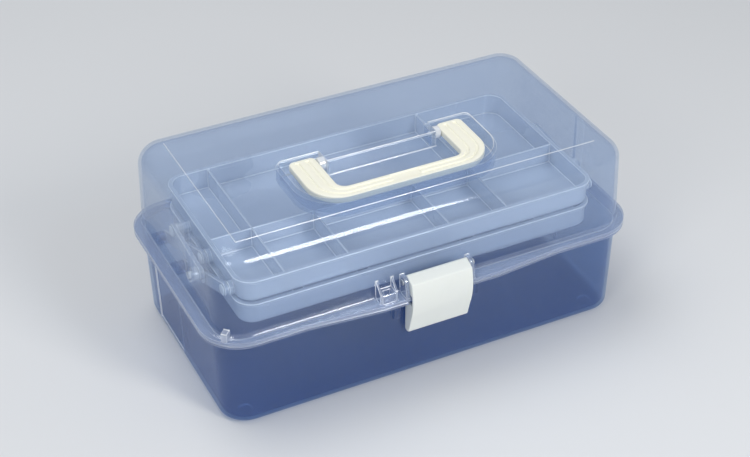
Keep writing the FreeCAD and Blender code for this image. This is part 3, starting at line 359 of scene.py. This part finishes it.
@dataclass(frozen=True)
class MouldedPlastic:
    """Solid moulded plastic with a fine grain, faint mottling and handling marks."""

    name: str
    slot: str
    colour: Colour
    shade: Colour
    roughness: float
    grain: float
    glow: float
    glow_reach: Place = (0.004, 0.004, 0.005)
    dull_cloud: float = 0.08
    rub_shine: float = 0.07
    sink_marks: float = 0.2
    relief: float = 0.04 * MM
    ior: float = 1.49

    def material(self) -> bpy.types.Material:
        """Build the node material and return it."""
        graph = Graph(self.name)
        cloud = graph.noise(22.0, detail=3.0, rough=0.55)
        wear = graph.noise(60.0, detail=3.0, rough=0.65, stretch=(1.0, 3.0, 1.0))
        rub = wear.between(0.55, 0.75)
        grain = graph.noise(1900.0, rough=0.6)
        height = grain * self.grain + cloud * self.sink_marks
        return graph.dress(
            {
                "Base Color": graph.tint(self.colour, self.shade, cloud * 0.7 + rub * 0.2),
                "Roughness": self.roughness + cloud * self.dull_cloud - rub * self.rub_shine,
                "Normal": graph.bump(height, self.relief),
                "IOR": self.ior,
                "Subsurface Weight": self.glow,
                "Subsurface Radius": self.glow_reach,
                "Subsurface Scale": 1.0,
            }
        )


@dataclass(frozen=True)
class TurnedSteel:
    """Plain steel wire with fine lines drawn along it."""

    name: str
    slot: str
    colour: Colour
    shade: Colour
    roughness: float
    dull_lines: float = 0.15
    relief: float = 0.01 * MM

    def material(self) -> bpy.types.Material:
        """Build the node material and return it."""
        graph = Graph(self.name)
        lines = graph.noise(40.0, rough=0.6, stretch=(1.0, 60.0, 60.0))
        stain = graph.noise(120.0, detail=3.0)
        return graph.dress(
            {
                "Base Color": graph.tint(self.colour, self.shade, lines * 0.6 + stain * 0.3),
                "Metallic": 1.0,
                "Roughness": self.roughness + lines * self.dull_lines,
                "Normal": graph.bump(lines, self.relief),
            }
        )


@dataclass(frozen=True)
class PlainFloor:
    """The pale studio floor."""

    name: str
    colour: Colour
    paler: float = 1.02
    roughness: float = 0.6

    def material(self) -> bpy.types.Material:
        """Build the node material and return it."""
        graph = Graph(self.name)
        cloud = graph.noise(3.0)
        pale = tuple(min(1.0, part * self.paler) for part in self.colour)
        return graph.dress(
            {
                "Base Color": graph.tint(self.colour, pale, cloud),
                "Roughness": self.roughness,
            }
        )


class Finish(Enum):
    """The finishes of this case, each with the record's material slot that it belongs to."""

    LID_CLEAR = ClearPlastic(
        name="lid_clear",
        slot="clear_shell",
        passed=(0.90, 0.935, 0.975),
        tint=(0.32, 0.42, 0.68),
        haze=(0.55, 0.65, 0.83),
        edge_highlight=(0.93, 0.96, 1.0),
        face_cover=0.12,
        rim_cover=0.50,
        highlight_cover=0.62,
        roughness=0.07,
        grain=0.02,
    )
    # The same clear plastic as the lid, with a darker tint, haze and passed colour: painted
    # shade that makes the base read darker than the lid.
    SHADED_BASE_CLEAR = ClearPlastic(
        name="base_clear_painted_shade",
        slot="clear_shell",
        passed=(0.69, 0.79, 0.94),
        tint=(0.05, 0.105, 0.25),
        haze=(0.20, 0.31, 0.55),
        edge_highlight=(0.88, 0.93, 1.0),
        face_cover=0.21,
        rim_cover=0.50,
        highlight_cover=0.58,
        roughness=0.09,
        grain=0.03,
    )
    FROSTED_TRAY = ClearPlastic(
        name="frosted_tray",
        slot="frosted_tray",
        passed=(0.93, 0.96, 1.0),
        tint=(0.84, 0.90, 0.98),
        haze=(0.96, 0.98, 1.0),
        edge_highlight=(0.98, 0.99, 1.0),
        face_cover=0.58,
        rim_cover=0.72,
        highlight_cover=0.62,
        roughness=0.26,
        grain=0.8,
    )
    BAR_PLASTIC = ClearPlastic(
        name="bar_plastic",
        slot="bar_plastic",
        passed=(0.94, 0.97, 1.0),
        tint=(0.74, 0.82, 0.95),
        haze=(0.86, 0.91, 0.98),
        edge_highlight=(0.97, 0.98, 1.0),
        face_cover=0.45,
        rim_cover=0.80,
        highlight_cover=0.45,
        roughness=0.24,
        grain=1.0,
    )
    HANDLE_PLASTIC = MouldedPlastic(
        name="handle_plastic",
        slot="handle_plastic",
        colour=(0.95, 0.93, 0.80),
        shade=(0.88, 0.87, 0.75),
        roughness=0.32,
        grain=1.0,
        glow=0.12,
    )
    LATCH_PLASTIC = MouldedPlastic(
        name="latch_plastic",
        slot="latch_plastic",
        colour=(0.84, 0.865, 0.82),
        shade=(0.77, 0.80, 0.77),
        roughness=0.42,
        grain=0.8,
        glow=0.2,
    )
    PIN_PLASTIC = MouldedPlastic(
        name="pin_plastic",
        slot="pin_plastic",
        colour=(0.90, 0.93, 0.96),
        shade=(0.80, 0.84, 0.90),
        roughness=0.26,
        grain=0.6,
        glow=0.1,
    )
    PIN_STEEL = TurnedSteel(
        name="pin_steel",
        slot="pin_steel",
        colour=(0.62, 0.63, 0.65),
        shade=(0.45, 0.46, 0.48),
        roughness=0.28,
    )

    @property
    def slot(self) -> str:
        """Return the record's name for this finish."""
        return self.value.slot


class Palette:
    """Every finish as a ready material."""

    def __init__(self) -> None:
        """Build each material once."""
        self.materials = {finish: finish.value.material() for finish in Finish}

    def __getitem__(self, finish: Finish) -> bpy.types.Material:
        """Return the material of one finish."""
        return self.materials[finish]


# ------------------------------------------------------------------ bench


@dataclass(frozen=True)
class Zone:
    """A box on a piece, and the least and the most painted edge highlight that it allows
    inside.
    """

    low: Place
    high: Place
    least: float = 0.0
    most: float = 1.0

    @classmethod
    def pair(
        cls, low: Place, high: Place, least: float = 0.0, most: float = 1.0
    ) -> tuple["Zone", "Zone"]:
        """Make a zone from two corners in millimetres, and its mirror image across X.

        Args:
            low: The lower corner of the one on the right.
            high: Its upper corner.
            least: The least mark inside.
            most: The most mark inside.

        Returns:
            Both zones.
        """
        near, far = tuple(Vector(low) * MM), tuple(Vector(high) * MM)
        return (
            cls(near, far, least, most),
            cls((-far[0], *near[1:]), (-near[0], *far[1:]), least, most),
        )

    def holds(self, place: Vector) -> bool:
        """Return whether a place lies in the box."""
        return all(a <= b <= c for a, b, c in zip(self.low, place, self.high))

    def keeps(self, edge: bmesh.types.BMEdge) -> bool:
        """Return whether a whole edge lies in the box."""
        return all(self.holds(end.co) for end in edge.verts)


def apart(a: Vector, b: Vector, c: Vector, d: Vector) -> float:
    """Return the least distance between the lines from a to b and from c to d.

    Args:
        a: Start of the first line.
        b: Its end.
        c: Start of the second line.
        d: Its end.

    Returns:
        The distance in metres.
    """
    gaps = []
    for spot, start, end in ((a, c, d), (b, c, d), (c, a, b), (d, a, b)):
        place, along = intersect_point_line(spot, start, end)
        nearest = start if along < 0 else end if along > 1 else place
        gaps.append((spot - nearest).length)
    return min(gaps)


def follow(edge: bmesh.types.BMEdge) -> set[bmesh.types.BMEdge]:
    """Return the edges that carry on from either end of an edge with little turn."""
    found = set()
    for here in edge.verts:
        away = (here.co - edge.other_vert(here).co).normalized()
        for near in here.link_edges:
            onward = (near.other_vert(here).co - here.co).normalized()
            if near is not edge and onward.dot(away) > CARRY_ON:
                found.add(near)
    return found


class Shares:
    """The share of a rounding's width that each crease of a mesh has room for.

    Roundings wider than their faces would fold over each other.
    """

    def __init__(self, mesh: bpy.types.Mesh, width: float, test: EdgeTest) -> None:
        """Give a full share to the creases that pass a test, and none to the other edges.

        Args:
            mesh: The mesh.
            width: Width of the rounding in metres.
            test: Takes an edge and tells whether it is rounded.
        """
        self.mesh = mesh
        self.width = width
        self.work = bmesh.new()
        self.work.from_mesh(mesh)
        layers = self.work.edges.layers.float
        self.share = layers.get(BEVEL_SHARE) or layers.new(BEVEL_SHARE)
        for edge in self.work.edges:
            crease = edge.is_manifold and edge.calc_face_angle() > CREASE
            edge[self.share] = 1.0 if crease and test(edge) else 0.0

    def flats(self) -> Iterator[list[bmesh.types.BMFace]]:
        """Give the flat regions of the mesh, each as a list of its faces."""
        waiting = set(self.work.faces)
        for first in self.work.faces:
            if first not in waiting:
                continue
            waiting.discard(first)
            flat = [first]
            for face in flat:
                for near in (near for edge in face.edges for near in edge.link_faces):
                    if near in waiting and near.normal.dot(face.normal) > FLAT:
                        waiting.discard(near)
                        flat.append(near)
            yield flat

    def limit(self, flat: list[bmesh.types.BMFace]) -> None:
        """Lower the shares of creases that face each other across a narrow flat region.

        Args:
            flat: The faces of the region.
        """
        up = flat[0].normal
        inside = set(flat)
        sides = [
            (loop.edge, loop.vert.co, loop.link_loop_next.vert.co)
            for face in flat
            for loop in face.loops
            if not inside.issuperset(loop.edge.link_faces)
        ]
        for (one, a, b), (two, c, d) in combinations(sides, 2):
            moved = (one[self.share] > 0) + (two[self.share] > 0)
            if not moved or set(one.verts) & set(two.verts) or (b - a).dot(d - c) >= 0:
                continue
            if up.cross(b - a).dot((c + d) / 2 - a) <= 0:
                continue
            room = ROOM * apart(a, b, c, d) / (moved * self.width)
            for side in (one, two):
                side[self.share] = min(side[self.share], max(room, LEAST_SHARE))

    def even(self) -> None:
        """Give all creases that carry on into each other the least share among them."""
        waiting = {edge for edge in self.work.edges if edge[self.share] > 0}
        while waiting:
            run, ends = [], [waiting.pop()]
            while ends:
                edge = ends.pop()
                run.append(edge)
                for near in waiting & follow(edge):
                    waiting.discard(near)
                    ends.append(near)
            least = min(edge[self.share] for edge in run)
            for edge in run:
                edge[self.share] = least

    def store(self) -> None:
        """Work the shares out and write them back to the mesh."""
        for flat in self.flats():
            self.limit(flat)
        self.even()
        self.work.to_mesh(self.mesh)
        self.work.free()


class Bench:
    """Shapes pieces with Blender's own modelling operators and hands them over."""

    def __init__(self, palette: Palette) -> None:
        """Hold the materials that pieces are dressed with."""
        self.palette = palette
        self.count = 0

    @staticmethod
    def only(piece: bpy.types.Object) -> None:
        """Select one object alone and make it the active one."""
        bpy.ops.object.select_all(action="DESELECT")
        piece.select_set(True)
        bpy.context.view_layer.objects.active = piece

    @contextmanager
    def editing(self, piece: bpy.types.Object) -> Iterator[None]:
        """Hold a piece in edit mode with nothing selected in it."""
        self.only(piece)
        bpy.ops.object.mode_set(mode="EDIT")
        bpy.ops.mesh.select_all(action="DESELECT")
        yield
        bpy.ops.object.mode_set(mode="OBJECT")

    def round_off(
        self,
        piece: bpy.types.Object,
        width: float,
        segments: int,
        test: EdgeTest,
        index: int = 0,
    ) -> None:
        """Round the creases that pass a test.

        Args:
            piece: The object.
            width: Width of the rounding in metres.
            segments: Faces across the rounding.
            test: Takes an edge and tells whether it is rounded.
            index: The material index that the new faces get.
        """
        Shares(piece.data, width, test).store()
        self.only(piece)
        edge = piece.modifiers.new("edge", "BEVEL")
        edge.width = width
        edge.segments = segments
        edge.limit_method = "WEIGHT"
        edge.use_clamp_overlap = False
        edge.material = index
        bpy.ops.object.modifier_apply(modifier=edge.name)

    def soften(
        self,
        piece: bpy.types.Object,
        width: float,
        segments: int,
        zones: tuple[Zone, ...],
        sharp: tuple[Zone, ...],
    ) -> None:
        """Round every crease of a piece a little and smooth its shading.

        Args:
            piece: The finished shape.
            width: Width of the rounding in metres.
            segments: Faces across the rounding.
            zones: Boxes that hold the painted edge highlight between two values.
            sharp: Boxes whose creases stay sharp.
        """
        mesh = piece.data
        # Two empty slots: index 1 tells the rounded edges apart until their painted highlight
        # mark is set.
        mesh.materials.clear()
        for _ in range(2):
            mesh.materials.append(None)
        top = max(vertex.co.z for vertex in mesh.vertices)
        self.round_off(
            piece,
            width,
            segments,
            lambda edge: not any(zone.keeps(edge) for zone in sharp),
            index=1,
        )
        for vertex in mesh.vertices:
            vertex.co.z = min(vertex.co.z, top)
        # This mark paints highlight on the clear plastic's rounded edges and zones.
        mark = mesh.attributes.new(EDGE_HIGHLIGHT_MARK, "FLOAT", "FACE")
        for face in mesh.polygons:
            value = float(face.material_index)
            for zone in zones:
                if zone.holds(face.center):
                    value = min(max(value, zone.least), zone.most)
            mark.data[face.index].value = value
            face.material_index = 0
        bpy.ops.object.shade_smooth_by_angle(angle=SMOOTH_MOULDING)
        even = piece.modifiers.new("even", "WEIGHTED_NORMAL")
        even.keep_sharp = True
        even.weight = EVEN_WEIGHT
        bpy.ops.object.modifier_apply(modifier=even.name)

    def hand_over(
        self, piece: bpy.types.Object, body: str, finish: Finish, nodes: tuple[str, ...]
    ) -> None:
        """Dress a finished piece and let it ride on its body.

        Args:
            piece: The finished piece, at the origin.
            body: The body that carries it.
            finish: The finish that it takes.
            nodes: The solids that it stands for.
        """
        piece.data.materials.clear()
        piece.data.materials.append(self.palette[finish])
        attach(piece, body)
        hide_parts(*nodes)
        finish.slot
        self.count += 1
        log.info("%s: %d faces, rides on %s", piece.name, len(piece.data.polygons), body)

    @staticmethod
    def merge_faces() -> None:
        """Merge close points of the piece in edit mode, and faces that lie in one plane."""
        bpy.ops.mesh.select_all(action="SELECT")
        bpy.ops.mesh.remove_doubles(threshold=MERGE_REACH)
        bpy.ops.mesh.dissolve_limited(angle_limit=MERGE_TURN)

    def from_node(self, node: str, name: str) -> bpy.types.Object:
        """Copy a solid's mesh with its loose triangles merged into whole faces.

        Args:
            node: The solid.
            name: The new piece's name.

        Returns:
            The new piece.
        """
        piece = bpy.data.objects.new(name, frame["nodes"][node].data.copy())
        bpy.context.scene.collection.objects.link(piece)
        with self.editing(piece):
            self.merge_faces()
        return piece


# ------------------------------------------------------------------ sub-assemblies


@dataclass
class Moulding:
    """One moulded piece whose solid has the right shape and needs softer edges."""

    node: str
    body: str
    finish: Finish
    edge: float = 0.5 * MM
    segments: int = 2
    zones: tuple[Zone, ...] = ()
    sharp: tuple[Zone, ...] = ()

    def shape(self, bench: Bench, piece: bpy.types.Object) -> None:
        """Change the shape before its edges are rounded. A plain moulding needs no change."""

    def build(self, bench: Bench) -> None:
        """Make the piece on the bench."""
        piece = bench.from_node(self.node, f"{self.node}_moulding")
        self.shape(bench, piece)
        bench.soften(piece, self.edge, self.segments, self.zones, self.sharp)
        bench.hand_over(piece, self.body, self.finish, (self.node,))


@dataclass
class LidShell(Moulding):
    """The clear lid, with painted highlight and a milkier cover at its rim, bosses, lugs,
    corner block and padlock eye.
    """

    zones: tuple[Zone, ...] = (
        *Zone.pair((0, -200, 74.9), (200, 200, 77.6), least=0.3, most=0.65),
        *Zone.pair((0, -200, 77.6), (200, 200, 80.9), least=0.2, most=0.65),
        *Zone.pair((42.4, -5, 132), (48.3, 5, 142.2), least=1.0),
        *Zone.pair((143, -28, 86), (153.5, -16, 97), least=0.9),
        *Zone.pair((23.4, -96, 80.9), (27, -86.2, 93), least=0.3, most=0.6),
        Zone((-0.045, -0.096, 0.0809), (-0.033, -0.0862, 0.093), least=0.35, most=0.75),
        Zone((-0.160, -0.088, 0.0774), (-0.1495, -0.0773, 0.0846), least=0.55),
    )
    sharp: tuple[Zone, ...] = (Zone((-0.044, -0.096, 0.083), (-0.033, -0.0929, 0.086)),)


@dataclass
class BaseShell(Moulding):
    """The clear base, with painted highlight and a milkier cover at its rim, and only faint
    painted highlight at the guards beside the latch.
    """

    zones: tuple[Zone, ...] = (
        *Zone.pair((0, -200, 72.3), (200, 200, 75.1), least=0.3, most=0.65),
        *Zone.pair((27, -90, 50), (34, -84.3, 72.3), most=0.2),
    )


@dataclass
class CarryingHandle(Moulding):
    """The handle, with full round ridges between its grooves."""

    edge: float = 0.25 * MM
    ridge: float = 0.95 * MM
    ridge_segments: int = 4
    top_band: float = 0.05 * MM

    def shape(self, bench: Bench, piece: bpy.types.Object) -> None:
        """Round the rims of the grooves."""
        top = max(vertex.co.z for vertex in piece.data.vertices) - self.top_band
        bench.round_off(
            piece,
            self.ridge,
            self.ridge_segments,
            lambda edge: all(end.co.z > top for end in edge.verts),
        )


@dataclass
class FrontLatch(Moulding):
    """The latch, softer along its edges and with its nib's foot flush with its plate."""

    edge: float = 0.45 * MM
    segments: int = 3
    foot_height: float = 53.57 * MM
    foot_ahead: float = 95.0 * MM
    foot_half: float = 12.5 * MM
    foot_move: Place = (0.0, 0.278 * MM, 0.049 * MM)

    def shape(self, bench: Bench, piece: bpy.types.Object) -> None:
        """Set the nib's foot back to the face of the plate."""
        with bench.editing(piece):
            bpy.ops.mesh.select_mode(type="VERT")
            mesh = bmesh.from_edit_mesh(piece.data)
            for vertex in mesh.verts:
                spot = vertex.co
                foot = abs(spot.x) < self.foot_half and spot.y < -self.foot_ahead
                vertex.select_set(foot and spot.z < self.foot_height)
            bmesh.update_edit_mesh(piece.data)
            bpy.ops.transform.translate(value=self.foot_move)
            bench.merge_faces()


@dataclass
class Rivet:
    """A plastic pin with a domed head, modelled once and copied to each of its places.

    The shank's length and the heights of the head's wall, dome and crown are given as
    shares of the head's thickness, and each step of the dome with its narrowing.
    """

    shank: float = 2.5 * MM
    head: float = 4.0 * MM
    thick: float = 1.0 * MM
    sides: int = 40
    tip: float = 0.4 * MM
    shank_long: float = 3.0
    wall: float = 0.45
    dome: tuple[tuple[float, float], ...] = (
        (0.22, 0.93),
        (0.16, 0.86),
        (0.1, 0.74),
        (0.05, 0.5),
    )
    crown: float = 0.02
    finish: Finish = Finish.PIN_PLASTIC
    pattern: bpy.types.Object | None = None

    def extrude(self, reach: float, share: float) -> None:
        """Pull the selected face along X and scale it about the pin's axis.

        Args:
            reach: How far along X.
            share: Its new size over its old one.
        """
        bpy.ops.mesh.extrude_region_move(TRANSFORM_OT_translate={"value": (reach, 0, 0)})
        bpy.ops.transform.resize(value=(1, share, share), center_override=(0, 0, 0))

    def model(self, bench: Bench) -> bpy.types.Object:
        """Model the pin along X with the underside of its head at the origin.

        Args:
            bench: The bench that it is made on.

        Returns:
            The pattern that the copies are taken from.
        """
        bpy.ops.object.select_all(action="DESELECT")
        bpy.ops.mesh.primitive_circle_add(
            vertices=self.sides,
            radius=self.shank - self.tip,
            fill_type="NGON",
            location=(-self.shank_long * self.thick, 0, 0),
            rotation=(0, math.radians(90), 0),
        )
        bpy.ops.object.transform_apply(location=True, rotation=True, scale=True)
        pattern = bpy.context.active_object
        pattern.name = "rivet_pattern"
        with bench.editing(pattern):
            bpy.ops.mesh.select_all(action="SELECT")
            self.extrude(self.tip, self.shank / (self.shank - self.tip))
            self.extrude(self.shank_long * self.thick - self.tip, 1.0)
            self.extrude(0.0, self.head / self.shank)
            self.extrude(self.wall * self.thick, 1.0)
            for lift, share in self.dome:
                self.extrude(lift * self.thick, share)
            bpy.ops.mesh.extrude_region_move(
                TRANSFORM_OT_translate={"value": (self.crown * self.thick, 0, 0)}
            )
            bpy.ops.mesh.merge(type="CENTER")
            bpy.ops.mesh.select_all(action="SELECT")
            bpy.ops.mesh.normals_make_consistent(inside=False)
        bench.only(pattern)
        bpy.ops.object.shade_smooth_by_angle(angle=SMOOTH_RIVET)
        return pattern

    def place(self, bench: Bench, node: str, body: str) -> None:
        """Copy the pin to where a solid has it.

        Args:
            bench: The bench that it is made on.
            node: The solid that it stands for.
            body: The body that carries it.
        """
        if self.pattern is None:
            self.pattern = self.model(bench)
        low, high = (Vector(corner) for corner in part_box(node))
        side = 1.0 if low.x + high.x > 0 else -1.0
        inward = node.startswith(("base_pin", "lid_link_pin", "handle_pin"))
        facing = -side if inward else side
        length = high.x - low.x - self.thick
        root = high.x - self.thick if facing > 0 else low.x + self.thick
        piece = bpy.data.objects.new(f"{node}_rivet", self.pattern.data.copy())
        bpy.context.scene.collection.objects.link(piece)
        turn = Matrix.Rotation(0.0 if facing > 0 else math.pi, 4, "Z")
        shank = self.shank_long * self.thick
        for vertex in piece.data.vertices:
            if vertex.co.x < -shank / 2:
                vertex.co.x += shank - length
        centre = Vector((root, (low.y + high.y) / 2, (low.z + high.z) / 2))
        piece.data.transform(Matrix.Translation(centre) @ turn)
        bench.hand_over(piece, body, self.finish, (node,))

    def clear_away(self) -> None:
        """Remove the pattern once every copy is placed."""
        if self.pattern is not None:
            bpy.data.objects.remove(self.pattern)


@dataclass(frozen=True)
class SoftBox:
    """One soft box that faces the case, with the brightness of its face (1 is white)."""

    name: str
    place: Place
    size: tuple[float, float]
    shine: float

    def hang(self) -> None:
        """Hang it in the scene."""
        light = bpy.data.lights.new(self.name, "AREA")
        light.shape = "RECTANGLE"
        light.size, light.size_y = self.size
        light.energy = self.shine * math.pi * self.size[0] * self.size[1]
        holder = bpy.data.objects.new(self.name, light)
        bpy.context.scene.collection.objects.link(holder)
        holder.location = self.place
        aim = Vector(CASE_MIDDLE) - holder.location
        holder.rotation_mode = "QUATERNION"
        holder.rotation_quaternion = aim.to_track_quat("-Z", "Y")


@dataclass
class Studio:
    """The pale floor, the soft lights and the camera."""

    floor_size: float = 24.0
    floor_height: float = -0.2 * MM
    floor_colour: Colour = (0.72, 0.735, 0.755)
    boxes: tuple[SoftBox, ...] = (
        SoftBox("front_box", (0.44, -1.27, 0.89), (0.36, 0.55), 17.0),
        SoftBox("left_box", (-1.21, -0.93, 0.98), (0.5, 0.5), 6.5),
        SoftBox("top_box", (-0.5, 0.5, 2.0), (1.6, 1.2), 2.9),
    )
    room_colour: Colour = (0.93, 0.96, 1.0)
    room_strength: float = 0.37
    camera_place: Place = (-0.4323, -0.8803, 0.7598)
    azimuth: float = -25.97
    elevation: float = 35.22
    roll: float = -0.45
    lens: float = 78.76
    sensor: float = 36.0
    clip: tuple[float, float] = (0.01, 100.0)

    def build(self) -> None:
        """Make the whole studio."""
        self.lay_floor()
        self.hang_lights()
        self.set_camera()

    def lay_floor(self) -> None:
        """Lay the floor under the case."""
        bpy.ops.object.select_all(action="DESELECT")
        place = (0, 0, self.floor_height)
        bpy.ops.mesh.primitive_plane_add(size=self.floor_size, location=place)
        floor = bpy.context.active_object
        floor.name = "floor"
        bpy.ops.object.transform_apply(location=True, rotation=True, scale=True)
        floor.data.materials.append(PlainFloor("floor", self.floor_colour).material())

    def hang_lights(self) -> None:
        """Hang the two soft boxes and the wide top light, and light the room."""
        for box in self.boxes:
            box.hang()
        world = bpy.data.worlds.new("room")
        world.use_nodes = True
        glow = world.node_tree.nodes["Background"]
        glow.inputs["Color"].default_value = (*self.room_colour, 1.0)
        glow.inputs["Strength"].default_value = self.room_strength
        bpy.context.scene.world = world

    def set_camera(self) -> None:
        """Stand the camera where the case is seen from above its left front corner."""
        turn = math.radians(self.azimuth)
        tilt = math.radians(self.elevation)
        back = Vector(
            (
                math.sin(turn) * math.cos(tilt),
                -math.cos(turn) * math.cos(tilt),
                math.sin(tilt),
            )
        )
        right = (-back).cross(Vector((0, 0, 1))).normalized()
        up = right.cross(-back)
        spin = math.radians(self.roll)
        across = right * math.cos(spin) + up * math.sin(spin)
        upright = up * math.cos(spin) - right * math.sin(spin)
        pose = Matrix((across, upright, back)).transposed()
        lens = bpy.data.cameras.new("camera")
        lens.lens = self.lens
        lens.sensor_width = self.sensor
        lens.clip_start, lens.clip_end = self.clip
        camera = bpy.data.objects.new("camera", lens)
        camera.matrix_world = Matrix.Translation(self.camera_place) @ pose.to_4x4()
        bpy.context.scene.collection.objects.link(camera)
        bpy.context.scene.camera = camera


@dataclass
class StorageCase:
    """The whole case: shells, trays, linkage, handle, latch and pins."""

    bench: Bench

    def build(self) -> None:
        """Make every piece, one for each solid of the case."""
        bodies = {
            node: body
            for body, nodes in frame["record"]["behaviour"]["bodies"].items()
            for node in nodes
        }
        slots = {part["node"]: part["material_slot"] for part in frame["record"]["subparts"]}
        finishes = {finish.slot: finish for finish in Finish}
        shells = {"lid_shell": Finish.LID_CLEAR, "base_shell": Finish.SHADED_BASE_CLEAR}
        kinds = {
            "lid_shell": LidShell,
            "base_shell": BaseShell,
            "handle": CarryingHandle,
            "latch": FrontLatch,
        }
        rivet = Rivet()
        small = Rivet(shank=1.6 * MM, head=2.0 * MM, thick=1.5 * MM)
        for node, body in sorted(bodies.items()):
            finish = shells.get(node, finishes[slots[node]])
            if node.startswith("handle_pin"):
                small.place(self.bench, node, body)
            elif finish is Finish.PIN_PLASTIC:
                rivet.place(self.bench, node, body)
            else:
                kinds.get(node, Moulding)(node, body, finish).build(self.bench)
        rivet.clear_away()
        small.clear_away()


def main() -> None:
    """Build the case and its studio."""
    logging.basicConfig(level=logging.INFO, format="%(name)s: %(message)s")
    bpy.context.scene.view_settings.view_transform = "Standard"
    bpy.context.scene.cycles.transparent_max_bounces = CLEAR_LAYERS
    Studio().build()
    bench = Bench(Palette())
    StorageCase(bench).build()
    log.info("%d pieces", bench.count)


if __name__ == "__main__":
    main()
